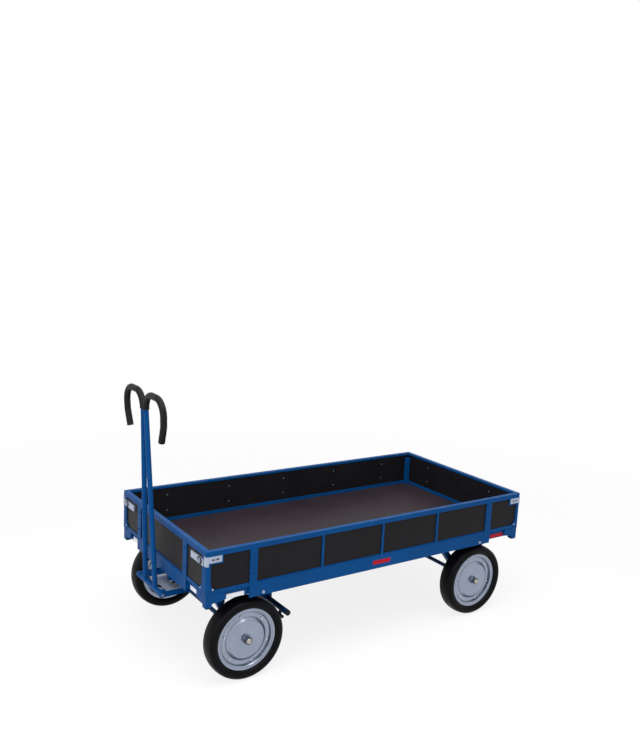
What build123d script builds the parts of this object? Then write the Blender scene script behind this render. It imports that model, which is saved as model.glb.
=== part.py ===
from build123d import *

import math
import os

# Driving sizes in millimetres. +X is the drawbar end, +Y the left side, +Z up from the floor.
BED_LENGTH = 2000.0
BED_WIDTH = 1000.0
WHEEL_DIAMETER = 400.0
DECK_RISE = 76.0
SIDE_HEIGHT = 204.0
DECK_THICKNESS = 12.0
FRONT_AXLE_INSET = 235.0
REAR_AXLE_INSET = 297.0

# Deck frame of rolled channel, set back behind the faces of the sides, with a lip round the deck board
FRAME_SETBACK = 16.0
FRAME_WIDTH = 40.0
FRAME_HEIGHT = 32.0
FRAME_WALL = 4.0
OPEN_CUT = 1.0
MIDDLE_MEMBERS = 4
DECK_GAP = 1.0

# Corner sockets with flush corner plates below the deck, and inner corner posts above it
SOCKET_SIZE = 32.0
SOCKET_SETBACK = 4.0
SOCKET_DROP = 20.0
CORNER_PLATE_LENGTH = 99.0
CORNER_PLATE_RISE = 6.0
CORNER_PLATE_TAPER = 10.0
CAP_HEIGHT = 7.0
CAP_DOME = 5.0
POST_SIZE = 25.0
POST_WALL = 2.5
POST_TOP_GAP = 30.0
POST_GAP = 1.0

# Sides: channel rails, stakes, ribs, apron and a plywood panel
RAIL_DEPTH = 24.0
TOP_RAIL_HEIGHT = 24.0
TOP_RAIL_LIP = 13.0
BOTTOM_RAIL_HEIGHT = 18.0
RAIL_WALL = 3.0
BAR_THICKNESS = 6.0
PANEL_THICKNESS = 15.0
STAKE_WIDTH = 40.0
RIB_WIDTH = 12.0
APRON_RISE = 12.0
APRON_DROP = 56.0
APRON_THICKNESS = 3.0
END_FLAT = 16.0
CORNER_ROUND = 10.0
GUSSET_RADIUS = 38.0
SIDE_GAP = 1.5
LONG_STAKE_INSET = 245.0
SHORT_STAKE_INSET = 225.0
RIB_PITCH = 370.0

# Stake tongues and the pockets that they plug into
TONGUE_WIDTH = 30.0
TONGUE_THICKNESS = 6.0
TONGUE_DROP = 42.0
POCKET_WALL = 3.0
POCKET_FLANGE = 20.0
POCKET_HEIGHT = 40.0
POCKET_CLEARANCE = 1.0

# Corner latches: keepers bent round the long sides' corners, slotted plates with staples on the short sides
KEEPER_LENGTH = 78.0
KEEPER_HEIGHT = 30.0
KEEPER_THICKNESS = 2.5
KEEPER_BACKING = 8.0
KEEPER_RETURN = 20.0
KEEPER_RETURN_HEIGHT = 45.0
KEEPER_BEND = 9.5
STAPLE_PLATE_REACH = 153.0
STAPLE_PLATE_HEIGHT = 32.0
STAPLE_PLATE_SHEET = 3.0
STAPLE_PLATE_DROP = 16.0
STAPLE_PAD_GAP = 2.0
STAPLE_SLOT_LENGTH = 42.0
STAPLE_SLOT_MARGIN = 6.0
STAPLE_WIDTH = 7.0
STAPLE_WALL = 5.0
STAPLE_PROUD = 11.0

# Wheels: solid tyre on a pressed rim with a trough round a raised disc, and a plain hub
TYRE_WIDTH = 96.0
WALL_RISE = 25.0
SHOULDER_DROP = 3.5
CROWN_WIDTH = 60.0
TYRE_SECTION = 48.0
RIM_FLANGE_HEIGHT = 12.0
RIM_SHEET = 4.0
RIM_WIDTH = 58.0
TROUGH_INSET = 10.0
TROUGH_WIDTH = 24.0
DISC_SLOPE = 12.0
TROUGH_Y = 20.0
DISC_Y = 30.0
HUB_RADIUS = 22.0
HUB_BACK = 36.0
HUB_FRONT = 38.0
WHEEL_FACE_SETBACK = 8.0
SEAT_CLEARANCE = 0.1

# Axles
SPINDLE_DIAMETER = 20.0
SPINDLE_CLEARANCE = 0.06
AXLE_DIAMETER = 22.0
COLLAR_DIAMETER = 34.0
COLLAR_WIDTH = 6.0
AXLE_END_PLAY = 0.4
NUT_FLATS = 26.0
NUT_HEIGHT = 13.0
THREAD_DIAMETER = 16.0
THREAD_OVERHANG = 3.0

# Axle supports: pairs of legs that meet at an axle block
SUPPORT_SETBACK = 83.0
SUPPORT_DEPTH = 30.0
LEG_WIDTH = 32.0
LEG_FOOT = 18.0
FRONT_LEG_SPREAD = 95.0
REAR_LEG_SPREAD = 195.0
BLOCK_LENGTH = 56.0
BLOCK_WALL = 10.0

# Turntable
TURNTABLE_RADIUS = 210.0
RACE_WIDTH = 26.0
RACE_HEIGHT = 4.0
TURNTABLE_PLATE = 10.0
TURNTABLE_GAP = 0.4
KINGPIN_DIAMETER = 30.0
KINGPIN_CLEARANCE = 0.06
KINGPIN_NUT_DIAMETER = 52.0
KINGPIN_NUT_HEIGHT = 10.0

# Steering frame and fork that carries the drawbar
BEAM_SIZE = 40.0
BEAM_OVERHANG = 25.0
FORK_Y = 130.0
FORK_WIDTH = 20.0
FORK_HEIGHT = 30.0
FORK_REAR_REACH = 125.0
PIVOT_REACH = 50.0
PIN_DIAMETER = 16.0
PIN_CLEARANCE = 0.05
PIN_HEAD = 10.0
PIN_HEAD_DIAMETER = 26.0
STOP_PLATE_DEPTH = 90.0
STOP_PLATE_TAB_DEPTH = 56.0
STOP_PLATE_SPAN = 60.0
STOP_PLATE_TAB_SPAN = 124.0
STOP_PLATE_FLANGE = 22.0
STOP_PLATE_SHEET = 3.0
STOP_PLATE_GAP = 12.0

# Drawbar: a V of two tubes that end in hook grips
DRAWBAR_TUBE = 25.0
DRAWBAR_WALL = 2.5
PIVOT_TUBE = 26.0
PIVOT_TUBE_GAP = 2.0
DRAWBAR_FOOT_Y = 61.0
DRAWBAR_NECK_Y = 17.2
HOOK_TOP_Z = 1317.0
NECK_DROP = 79.0
SPACER_DROP = 227.0
HOOK_TURN_DROP = 122.0
HOOK_DROP = 200.0
HOOK_OUT_Y = 226.0
HOOK_TURN_Y = 219.0
HOOK_END_Y = 190.0
HOOK_BEND = 76.0
GRIP_DIAMETER = 32.0
GRIP_CLEARANCE = 0.1
GRIP_END = 9.0
DRAWBAR_LEAN = 2.7
SPACER_DIAMETER = 12.0

# Parking brake: a cross tube behind the front wheels, with a shoe on a bracket for each tyre
BRAKE_TUBE_DIAMETER = 28.0
BRAKE_TUBE_ANGLE = 21.8
BRAKE_TUBE_GAP = 20.7
BRAKE_OVERHANG = 37.0
BRAKE_CAP = 4.0
SHOE_DIAMETER = 16.0
SHOE_ANGLE = 15.9
SHOE_GAP = 5.5
SHOE_LENGTH = 28.0
SHOE_OVERHANG = 12.0
SHOE_BRACKET = 8.0
BRAKE_ARM_SETBACK = 75.0
BRAKE_ARM_THICKNESS = 8.0
BRAKE_ARM_MARGIN = 8.0
BRAKE_CLEARANCE = 0.1

# Derived levels and places
HALF_LENGTH = BED_LENGTH / 2
HALF_WIDTH = BED_WIDTH / 2
WHEEL_RADIUS = WHEEL_DIAMETER / 2
RIM_FLANGE_RADIUS = WHEEL_RADIUS - TYRE_SECTION
RIM_BASE_RADIUS = RIM_FLANGE_RADIUS - RIM_FLANGE_HEIGHT
TROUGH_RADIUS = RIM_BASE_RADIUS - TROUGH_INSET
DISC_RADIUS = TROUGH_RADIUS - TROUGH_WIDTH
FRONT_AXLE_X = HALF_LENGTH - FRONT_AXLE_INSET
REAR_AXLE_X = REAR_AXLE_INSET - HALF_LENGTH
DECK_TOP = WHEEL_DIAMETER + DECK_RISE
SIDE_TOP = DECK_TOP + SIDE_HEIGHT
DECK_BOTTOM = DECK_TOP - DECK_THICKNESS
FRAME_BOTTOM = DECK_BOTTOM - FRAME_HEIGHT
SOCKET_BOTTOM = FRAME_BOTTOM - SOCKET_DROP
TOP_RAIL_BOTTOM = SIDE_TOP - TOP_RAIL_HEIGHT
PANEL_OUT = -BAR_THICKNESS
PANEL_IN = -BAR_THICKNESS - PANEL_THICKNESS
PANEL_BOTTOM = DECK_TOP + RAIL_WALL
PANEL_TOP = SIDE_TOP - RAIL_WALL
APRON_TOP = DECK_TOP + APRON_RISE
APRON_BOTTOM = DECK_TOP - APRON_DROP
LONG_HALF = HALF_LENGTH
SHORT_HALF = HALF_WIDTH - RAIL_DEPTH - SIDE_GAP
LONG_STAKE_U = HALF_LENGTH - LONG_STAKE_INSET
SHORT_STAKE_U = HALF_WIDTH - SHORT_STAKE_INSET
LONG_RIB_US = (-RIB_PITCH, 0.0, RIB_PITCH)
WHEEL_Y = HALF_WIDTH - WHEEL_FACE_SETBACK - TYRE_WIDTH / 2
SUPPORT_Y = WHEEL_Y - SUPPORT_SETBACK
TURNTABLE_BOTTOM = FRAME_BOTTOM - 2 * (TURNTABLE_PLATE + RACE_HEIGHT) - TURNTABLE_GAP
BEAM_BOTTOM = TURNTABLE_BOTTOM - BEAM_SIZE
BEAM_HALF_LENGTH = SUPPORT_Y + BEAM_OVERHANG
FORK_BOTTOM = BEAM_BOTTOM - FORK_HEIGHT
PIVOT_X = HALF_LENGTH + PIVOT_REACH
PIVOT_Z = FORK_BOTTOM + FORK_HEIGHT / 2
DRAWBAR_NECK_Z = HOOK_TOP_Z - NECK_DROP
SPACER_Z = HOOK_TOP_Z - SPACER_DROP
HOOK_TURN_Z = HOOK_TOP_Z - HOOK_TURN_DROP
HOOK_END_Z = HOOK_TOP_Z - HOOK_DROP
BRAKE_TUBE_REACH = WHEEL_RADIUS + BRAKE_TUBE_GAP + BRAKE_TUBE_DIAMETER / 2
BRAKE_TUBE_X = FRONT_AXLE_X - BRAKE_TUBE_REACH * math.cos(math.radians(BRAKE_TUBE_ANGLE))
BRAKE_TUBE_Z = WHEEL_RADIUS + BRAKE_TUBE_REACH * math.sin(math.radians(BRAKE_TUBE_ANGLE))
BRAKE_HALF_LENGTH = WHEEL_Y + BRAKE_OVERHANG
SHOE_REACH = WHEEL_RADIUS + SHOE_GAP + SHOE_DIAMETER / 2
SHOE_X = FRONT_AXLE_X - SHOE_REACH * math.cos(math.radians(SHOE_ANGLE))
SHOE_Z = WHEEL_RADIUS + SHOE_REACH * math.sin(math.radians(SHOE_ANGLE))
SHOE_OUTER_Y = WHEEL_Y + SHOE_OVERHANG
SHOE_INNER_Y = SHOE_OUTER_Y - SHOE_LENGTH
BRAKE_ARM_Y = SUPPORT_Y - BRAKE_ARM_SETBACK
LEAN = math.radians(DRAWBAR_LEAN)
DRAWBAR_FRONT = PIVOT_X + (HOOK_TOP_Z - PIVOT_Z) * math.sin(LEAN) + GRIP_DIAMETER / 2
REAR_REACH = HALF_LENGTH + STAPLE_PROUD
CENTRE_X = (DRAWBAR_FRONT - REAR_REACH) / 2

SIDES = (1, -1)
# Each row is the name, the turn about Z and the reach of the outer face from the bed's centre.
LONG_SIDES = (("left", 0.0, HALF_WIDTH), ("right", 180.0, HALF_WIDTH))
SHORT_SIDES = (("front", -90.0, HALF_LENGTH), ("rear", 90.0, HALF_LENGTH))
# Each row is the wheel's name, the axle's X and the side of the trolley.
WHEELS = (
    ("front_left", FRONT_AXLE_X, 1),
    ("front_right", FRONT_AXLE_X, -1),
    ("rear_left", REAR_AXLE_X, 1),
    ("rear_right", REAR_AXLE_X, -1),
)

os.makedirs("parts", exist_ok=True)


def slab(x0, x1, y0, y1, z0, z1):
    """A block between two corners."""
    place = Pos((x0 + x1) / 2, (y0 + y1) / 2, (z0 + z1) / 2)
    return place * Box(abs(x1 - x0), abs(y1 - y0), abs(z1 - z0))


def rod_y(x, z, y0, y1, diameter):
    """A round bar along Y."""
    return Pos(x, (y0 + y1) / 2, z) * Rot(90, 0, 0) * Cylinder(diameter / 2, abs(y1 - y0))


def rod_z(x, y, z0, z1, diameter):
    """A round bar along Z."""
    return Pos(x, y, (z0 + z1) / 2) * Cylinder(diameter / 2, z1 - z0)


def joined(shapes):
    """The union of a list of shapes."""
    whole = shapes[0]
    for shape in shapes[1:]:
        whole = whole + shape
    return whole


def plate_xz(points, y0, y1):
    """A flat plate with an outline in X and Z, from y0 to y1."""
    outline = Polyline(*[(x, 0, z) for x, z in points], close=True)
    sheet = extrude(make_face(outline), amount=abs(y1 - y0), dir=(0, 1, 0))
    return Pos(0, min(y0, y1), 0) * sheet


def write(name, shapes):
    """Shift the solids so that the box is centred on the origin, and write them as one node."""
    solids = [solid for shape in shapes for solid in shape.solids()]
    placed = [Pos(-CENTRE_X, 0, 0) * solid for solid in solids]
    export_step(placed[0] if len(placed) == 1 else Compound(children=placed), f"parts/{name}.step")


def channel_x(x0, x1, y0, y1, open_side):
    """A deck-frame channel along X, open towards one Y side."""
    inner = slab(
        x0, x1,
        y0 + (FRAME_WALL if open_side > 0 else -OPEN_CUT),
        y1 - (FRAME_WALL if open_side < 0 else -OPEN_CUT),
        FRAME_BOTTOM + FRAME_WALL, DECK_BOTTOM - FRAME_WALL,
    )
    return slab(x0, x1, y0, y1, FRAME_BOTTOM, DECK_BOTTOM) - inner


def channel_y(x0, x1, y0, y1, open_side):
    """A deck-frame channel along Y, open towards one X side."""
    inner = slab(
        x0 + (FRAME_WALL if open_side > 0 else -OPEN_CUT),
        x1 - (FRAME_WALL if open_side < 0 else -OPEN_CUT),
        y0, y1,
        FRAME_BOTTOM + FRAME_WALL, DECK_BOTTOM - FRAME_WALL,
    )
    return slab(x0, x1, y0, y1, FRAME_BOTTOM, DECK_BOTTOM) - inner


def member_xs():
    """The X places of the cross members, over both axles' legs and evenly spaced between them."""
    front = [FRONT_AXLE_X + side * FRONT_LEG_SPREAD for side in SIDES]
    rear = [REAR_AXLE_X + side * REAR_LEG_SPREAD for side in SIDES]
    start = max(rear)
    pitch = (min(front) - start) / (MIDDLE_MEMBERS + 1)
    middle = [start + pitch * number for number in range(1, MIDDLE_MEMBERS + 1)]
    return sorted(front + rear + middle)


def deck_frame():
    """The welded frame: four edge channels with a lip round the board, and the cross members."""
    out_x = HALF_LENGTH - FRAME_SETBACK
    out_y = HALF_WIDTH - FRAME_SETBACK
    lip_x = HALF_LENGTH - RAIL_DEPTH
    lip_y = HALF_WIDTH - RAIL_DEPTH
    end_x = HALF_LENGTH - SOCKET_SETBACK - SOCKET_SIZE
    end_y = HALF_WIDTH - SOCKET_SETBACK - SOCKET_SIZE
    pieces = []
    for side in SIDES:
        y_edges = sorted((side * out_y, side * (out_y - FRAME_WIDTH)))
        pieces.append(channel_x(-end_x, end_x, *y_edges, -side))
        pieces.append(slab(-end_x, end_x, side * lip_y, side * out_y, DECK_BOTTOM, DECK_TOP))
        x_edges = sorted((side * out_x, side * (out_x - FRAME_WIDTH)))
        pieces.append(channel_y(*x_edges, -end_y, end_y, -side))
        pieces.append(slab(side * lip_x, side * out_x, -end_y, end_y, DECK_BOTTOM, DECK_TOP))
    for x in member_xs():
        half_span = out_y - FRAME_WIDTH / 2
        pieces.append(channel_y(x - FRAME_WIDTH / 2, x + FRAME_WIDTH / 2, -half_span, half_span, 1))
    return joined(pieces)


def corner_places(inset):
    """The four corner points, inset from the faces of the sides."""
    return [(sx * (HALF_LENGTH - inset), sy * (HALF_WIDTH - inset)) for sx in SIDES for sy in SIDES]


SOCKET_INSET = SOCKET_SETBACK + SOCKET_SIZE / 2
POST_INSET = RAIL_DEPTH + POST_GAP + POST_SIZE / 2


def deck_board():
    """The plywood deck inside the frame's lip, notched round the corner posts."""
    half_x = HALF_LENGTH - RAIL_DEPTH - DECK_GAP
    half_y = HALF_WIDTH - RAIL_DEPTH - DECK_GAP
    board = slab(-half_x, half_x, -half_y, half_y, DECK_BOTTOM, DECK_TOP)
    notch_size = POST_SIZE + 2 * DECK_GAP
    for x, y in corner_places(POST_INSET):
        notch = Box(notch_size, notch_size, DECK_THICKNESS)
        board = board - Pos(x, y, (DECK_BOTTOM + DECK_TOP) / 2) * notch
    return board


def corner_plates(half):
    """The two flush plates beside the sockets behind a side, in the side's own frame."""
    high = DECK_TOP - SIDE_GAP
    low = FRAME_BOTTOM + CORNER_PLATE_RISE
    inner = half - CORNER_PLATE_LENGTH
    outer = half - SOCKET_SETBACK - SOCKET_SIZE
    plates = []
    for side in SIDES:
        outline = (
            (side * inner, high),
            (side * inner, low),
            (side * outer, low - CORNER_PLATE_TAPER),
            (side * outer, high),
        )
        plates.append(plate_xz(outline, -FRAME_SETBACK, -SOCKET_SETBACK))
    return plates


def corner_sockets():
    """Square corner tubes, closed at the top, with a corner plate along each side."""
    height = DECK_TOP - SOCKET_BOTTOM
    tube = Box(SOCKET_SIZE, SOCKET_SIZE, height)
    hollow = SOCKET_SIZE - 2 * FRAME_WALL
    bore = Pos(0, 0, -FRAME_WALL) * Box(hollow, hollow, height)
    shape = tube - bore
    pieces = [Pos(x, y, (DECK_TOP + SOCKET_BOTTOM) / 2) * shape for x, y in corner_places(SOCKET_INSET)]
    for rows, half in ((LONG_SIDES, HALF_LENGTH), (SHORT_SIDES, HALF_WIDTH)):
        for _, turn, reach in rows:
            pieces.extend(turned(plate, turn, reach) for plate in corner_plates(half))
    return [joined(pieces)]


def socket_caps():
    """Domed plastic plugs under the corner sockets."""
    head = Pos(0, 0, SOCKET_BOTTOM - CAP_HEIGHT / 2) * Box(SOCKET_SIZE, SOCKET_SIZE, CAP_HEIGHT)
    low_edges = head.faces().sort_by(Axis.Z)[0].edges()
    head = chamfer(low_edges, CAP_DOME)
    return [Pos(x, y, 0) * head for x, y in corner_places(SOCKET_INSET)]


def corner_posts():
    """Square posts on the frame inside the corners of the sides, cut away round the sockets."""
    top = SIDE_TOP - POST_TOP_GAP
    height = top - DECK_BOTTOM
    bore_size = POST_SIZE - 2 * POST_WALL
    shape = Box(POST_SIZE, POST_SIZE, height)
    shape = shape - Pos(0, 0, -POST_WALL) * Box(bore_size, bore_size, height)
    socket = Box(SOCKET_SIZE, SOCKET_SIZE, DECK_THICKNESS)
    posts = []
    for (x, y), (socket_x, socket_y) in zip(corner_places(POST_INSET), corner_places(SOCKET_INSET)):
        post = Pos(x, y, (DECK_BOTTOM + top) / 2) * shape
        posts.append(post - Pos(socket_x, socket_y, DECK_TOP - DECK_THICKNESS / 2) * socket)
    return posts


def pocket():
    """A hat-section pocket on the outer face of the deck frame, in a side's own frame."""
    face = -FRAME_SETBACK
    wall_out = -APRON_THICKNESS - POCKET_CLEARANCE
    half_bore = TONGUE_WIDTH / 2 + POCKET_CLEARANCE
    half_hat = half_bore + POCKET_WALL
    top = DECK_TOP - POCKET_CLEARANCE
    bottom = top - POCKET_HEIGHT
    hat = slab(-half_hat, half_hat, face, wall_out, bottom, top)
    hat = hat - slab(-half_bore, half_bore, face, wall_out - POCKET_WALL, bottom, top)
    flanges = [
        slab(side * half_hat, side * (half_hat + POCKET_FLANGE), face, face + POCKET_WALL, bottom, top)
        for side in SIDES
    ]
    return joined([hat] + flanges)


def stake_pockets():
    """All eight pockets, two behind each side."""
    shapes = []
    for rows, stake_u in ((LONG_SIDES, LONG_STAKE_U), (SHORT_SIDES, SHORT_STAKE_U)):
        for _, turn, reach in rows:
            for side in SIDES:
                shapes.append(Rot(0, 0, turn) * Pos(side * stake_u, reach, 0) * pocket())
    return shapes


def gusset(u, side):
    """A concave gusset at the foot of an end bar, whose inner edge is at u."""
    foot = DECK_TOP + BOTTOM_RAIL_HEIGHT
    r = GUSSET_RADIUS
    block = slab(u - side * r, u, PANEL_OUT, 0, foot, foot + r)
    rounder = Pos(u - side * r, PANEL_OUT / 2, foot + r) * Rot(90, 0, 0) * Cylinder(r, BAR_THICKNESS)
    return block - rounder


def side_rails(half):
    """The top and bottom channels of a side."""
    top = slab(-half, half, -RAIL_DEPTH, 0, TOP_RAIL_BOTTOM, SIDE_TOP)
    hollow = slab(-half, half, -RAIL_DEPTH + RAIL_WALL, -RAIL_WALL, TOP_RAIL_BOTTOM, SIDE_TOP - RAIL_WALL)
    open_low = slab(
        -half, half, -RAIL_DEPTH, -RAIL_DEPTH + RAIL_WALL, TOP_RAIL_BOTTOM, SIDE_TOP - TOP_RAIL_LIP,
    )
    top = top - hollow - open_low
    low_top = DECK_TOP + BOTTOM_RAIL_HEIGHT
    bottom = slab(-half, half, -RAIL_DEPTH, -RAIL_WALL, DECK_TOP, low_top)
    bottom = bottom - slab(-half, half, PANEL_IN, PANEL_OUT, DECK_TOP + RAIL_WALL, low_top)
    return [top, bottom]


def side_uprights(stake_u, rib_us):
    """Stakes with their tongues, ribs, and the apron between the stakes."""
    pieces = []
    half_stake = STAKE_WIDTH / 2
    tongue_out = -APRON_THICKNESS - 2 * POCKET_CLEARANCE - POCKET_WALL
    for side in SIDES:
        u = side * stake_u
        pieces.append(slab(u - half_stake, u + half_stake, PANEL_OUT, 0, DECK_TOP, TOP_RAIL_BOTTOM))
        pieces.append(slab(
            u - TONGUE_WIDTH / 2, u + TONGUE_WIDTH / 2,
            tongue_out - TONGUE_THICKNESS, tongue_out, DECK_TOP - TONGUE_DROP, DECK_TOP + RAIL_WALL,
        ))
    for u in rib_us:
        pieces.append(slab(u - RIB_WIDTH / 2, u + RIB_WIDTH / 2, PANEL_OUT, 0, DECK_TOP, TOP_RAIL_BOTTOM))
    reach = stake_u + half_stake
    pieces.append(slab(-reach, reach, -APRON_THICKNESS, 0, APRON_BOTTOM, APRON_TOP))
    pieces.append(slab(-reach, reach, PANEL_OUT, 0, DECK_TOP, APRON_TOP))
    return pieces


def long_side_frame():
    """A long side's steel frame, whose end angles make the corners of the bed."""
    pieces = side_rails(LONG_HALF) + side_uprights(LONG_STAKE_U, LONG_RIB_US)
    for side in SIDES:
        end = side * LONG_HALF
        edge = side * (LONG_HALF - RAIL_DEPTH)
        wall = side * (LONG_HALF - BAR_THICKNESS)
        pieces.append(slab(edge, end, PANEL_OUT, 0, DECK_TOP, TOP_RAIL_BOTTOM))
        pieces.append(slab(wall, end, -RAIL_DEPTH, 0, DECK_TOP, SIDE_TOP))
        pieces.append(gusset(edge, side))
        backing = side * (LONG_HALF - KEEPER_LENGTH - KEEPER_BACKING)
        backing_low = TOP_RAIL_BOTTOM - KEEPER_HEIGHT - KEEPER_BACKING
        pieces.append(slab(backing, end, PANEL_OUT, 0, backing_low, TOP_RAIL_BOTTOM))
    frame = joined(pieces)
    corners = [
        edge for edge in frame.edges().filter_by(Axis.Z)
        if abs(abs(edge.center().X) - LONG_HALF) < 0.01 and abs(edge.center().Y) < 0.01
    ]
    return fillet(corners, CORNER_ROUND)


def short_side_frame():
    """A short side's steel frame, which stands between the long sides' end angles."""
    pieces = side_rails(SHORT_HALF) + side_uprights(SHORT_STAKE_U, ())
    for side in SIDES:
        end = side * SHORT_HALF
        edge = side * (SHORT_HALF - END_FLAT)
        pieces.append(slab(edge, end, PANEL_OUT, 0, DECK_TOP, TOP_RAIL_BOTTOM))
        pieces.append(gusset(edge, side))
    return joined(pieces)


def side_panel(half):
    """The plywood panel of a side."""
    return slab(-half, half, PANEL_IN, PANEL_OUT, PANEL_BOTTOM, PANEL_TOP)


def bent_corner(side, start, reach, face, bend, low):
    """A block up to a rounded corner at one end of a long side, below the top rail."""
    block = slab(side * start, side * (LONG_HALF + face), -reach, face, low, TOP_RAIL_BOTTOM)
    corner = [
        edge for edge in block.edges().filter_by(Axis.Z)
        if abs(edge.center().X - side * (LONG_HALF + face)) < 0.01 and abs(edge.center().Y - face) < 0.01
    ]
    return fillet(corner, bend)


def keeper(side):
    """A keeper strip on one end of a long side, bent round the corner with a taller return."""
    bend = KEEPER_BEND + KEEPER_THICKNESS
    strip_low = TOP_RAIL_BOTTOM - KEEPER_HEIGHT
    return_low = TOP_RAIL_BOTTOM - KEEPER_RETURN_HEIGHT
    strip = bent_corner(side, LONG_HALF - KEEPER_LENGTH, KEEPER_RETURN, KEEPER_THICKNESS, bend, strip_low)
    end = bent_corner(side, LONG_HALF - bend, KEEPER_RETURN, KEEPER_THICKNESS, bend, return_low)
    inside = bent_corner(
        side, LONG_HALF - KEEPER_LENGTH - OPEN_CUT, KEEPER_RETURN + OPEN_CUT, 0, KEEPER_BEND, return_low,
    )
    return strip + end - inside


def staple_latch(side):
    """A slotted latch plate and its staple, at one end of a short side."""
    start = HALF_WIDTH - STAPLE_PLATE_REACH
    flat = SHORT_HALF - END_FLAT
    slot_start = flat - STAPLE_SLOT_LENGTH + STAPLE_SLOT_MARGIN
    high = TOP_RAIL_BOTTOM - STAPLE_PLATE_DROP
    low = high - STAPLE_PLATE_HEIGHT
    sheet = slab(side * start, side * SHORT_HALF, 0, STAPLE_PLATE_SHEET, low, high)
    pad = slab(side * start, side * (flat - STAPLE_PAD_GAP), PANEL_OUT, 0, low, high)
    slot = slab(
        side * slot_start, side * (flat - STAPLE_PAD_GAP), PANEL_OUT, STAPLE_PLATE_SHEET,
        low + STAPLE_SLOT_MARGIN, high - STAPLE_SLOT_MARGIN,
    )
    middle = (slot_start + flat - STAPLE_PAD_GAP) / 2
    staple = slab(
        side * (middle - STAPLE_WIDTH / 2), side * (middle + STAPLE_WIDTH / 2), PANEL_OUT, STAPLE_PROUD,
        low + STAPLE_SLOT_MARGIN, high - STAPLE_SLOT_MARGIN,
    )
    eye = slab(
        side * (middle - STAPLE_WIDTH / 2), side * (middle + STAPLE_WIDTH / 2), PANEL_OUT,
        STAPLE_PROUD - STAPLE_WALL,
        low + STAPLE_SLOT_MARGIN + STAPLE_WALL, high - STAPLE_SLOT_MARGIN - STAPLE_WALL,
    )
    return [sheet + pad - slot, staple - eye]


def turned(shape, turn, reach):
    """A side's shape, moved from its own frame to its place on the trolley."""
    return Rot(0, 0, turn) * Pos(0, reach, 0) * shape


def tyre():
    """A solid rubber tyre about the wheel's axis, with round walls and a slightly domed crown."""
    half = TYRE_WIDTH / 2
    half_crown = CROWN_WIDTH / 2
    seat_half = RIM_WIDTH / 2 - SEAT_CLEARANCE
    seat = RIM_BASE_RADIUS + SEAT_CLEARANCE
    root = RIM_FLANGE_RADIUS + SEAT_CLEARANCE
    wide = RIM_FLANGE_RADIUS + WALL_RISE
    shoulder = WHEEL_RADIUS - SHOULDER_DROP
    crown = ThreePointArc((shoulder, -half_crown), (WHEEL_RADIUS, 0), (shoulder, half_crown))
    outer_wall = ThreePointArc((shoulder, half_crown), (wide, half), (root, seat_half))
    bed = Polyline((root, seat_half), (seat, seat_half), (seat, -seat_half), (root, -seat_half))
    inner_wall = ThreePointArc((root, -seat_half), (wide, -half), (shoulder, -half_crown))
    return revolve(make_face(crown + outer_wall + bed + inner_wall), Axis.Y)


def rim():
    """A pressed rim: base ring, two flanges, and a trough round a raised disc."""
    rim_half = RIM_WIDTH / 2
    edge = rim_half + RIM_SHEET
    base = RIM_BASE_RADIUS
    inner = base - RIM_SHEET
    top = DISC_RADIUS - DISC_SLOPE
    hub_seat = HUB_RADIUS + SEAT_CLEARANCE
    points = (
        (inner, -edge),
        (RIM_FLANGE_RADIUS, -edge),
        (RIM_FLANGE_RADIUS, -rim_half),
        (base, -rim_half),
        (base, rim_half),
        (RIM_FLANGE_RADIUS, rim_half),
        (RIM_FLANGE_RADIUS, edge),
        (inner, edge),
        (inner - RIM_SHEET, rim_half),
        (TROUGH_RADIUS, TROUGH_Y),
        (DISC_RADIUS, TROUGH_Y),
        (top, DISC_Y),
        (hub_seat, DISC_Y),
        (hub_seat, DISC_Y - RIM_SHEET),
        (top + RIM_SHEET / 2, DISC_Y - RIM_SHEET),
        (DISC_RADIUS + RIM_SHEET / 2, TROUGH_Y - RIM_SHEET),
        (TROUGH_RADIUS + RIM_SHEET / 2, TROUGH_Y - RIM_SHEET),
        (inner, TROUGH_Y - 2 * RIM_SHEET),
    )
    return revolve(make_face(Polyline(*points, close=True)), Axis.Y)


def hub():
    """A plain hub tube with its running bore."""
    length = HUB_BACK + HUB_FRONT
    middle = (HUB_FRONT - HUB_BACK) / 2
    body = Cylinder(HUB_RADIUS, length) - Cylinder(SPINDLE_DIAMETER / 2 + SPINDLE_CLEARANCE, length)
    return Pos(0, middle, 0) * Rot(90, 0, 0) * body


def wheel_place(axle_x, side):
    """The wheel's place, with its outer face away from the trolley."""
    return Pos(axle_x, side * WHEEL_Y, WHEEL_RADIUS) * Rot(0, 0, 0 if side > 0 else 180)


def axle(axle_x):
    """A round axle with a collar, a spindle and a threaded end for each wheel."""
    shoulder = WHEEL_Y - HUB_BACK - AXLE_END_PLAY
    spindle_end = WHEEL_Y + HUB_FRONT + AXLE_END_PLAY
    thread_end = spindle_end + NUT_HEIGHT + THREAD_OVERHANG
    # Each row is a stretch's inner end, outer end and diameter.
    stretches = (
        (-shoulder, shoulder, AXLE_DIAMETER),
        (-shoulder, COLLAR_WIDTH - shoulder, COLLAR_DIAMETER),
        (shoulder - COLLAR_WIDTH, shoulder, COLLAR_DIAMETER),
        (-spindle_end, spindle_end, SPINDLE_DIAMETER),
        (-thread_end, thread_end, THREAD_DIAMETER),
    )
    return joined([rod_y(axle_x, WHEEL_RADIUS, y0, y1, diameter) for y0, y1, diameter in stretches])


def axle_nuts(axle_x):
    """Hexagon nuts that hold the wheels on an axle."""
    start = WHEEL_Y + HUB_FRONT + AXLE_END_PLAY
    outline = RegularPolygon(NUT_FLATS / 2, 6, major_radius=False) - Circle(THREAD_DIAMETER / 2)
    nut = extrude(outline, amount=NUT_HEIGHT)
    return [
        Pos(axle_x, side * start, WHEEL_RADIUS) * Rot(-90 * side, 0, 0) * nut
        for side in SIDES
    ]


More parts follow.
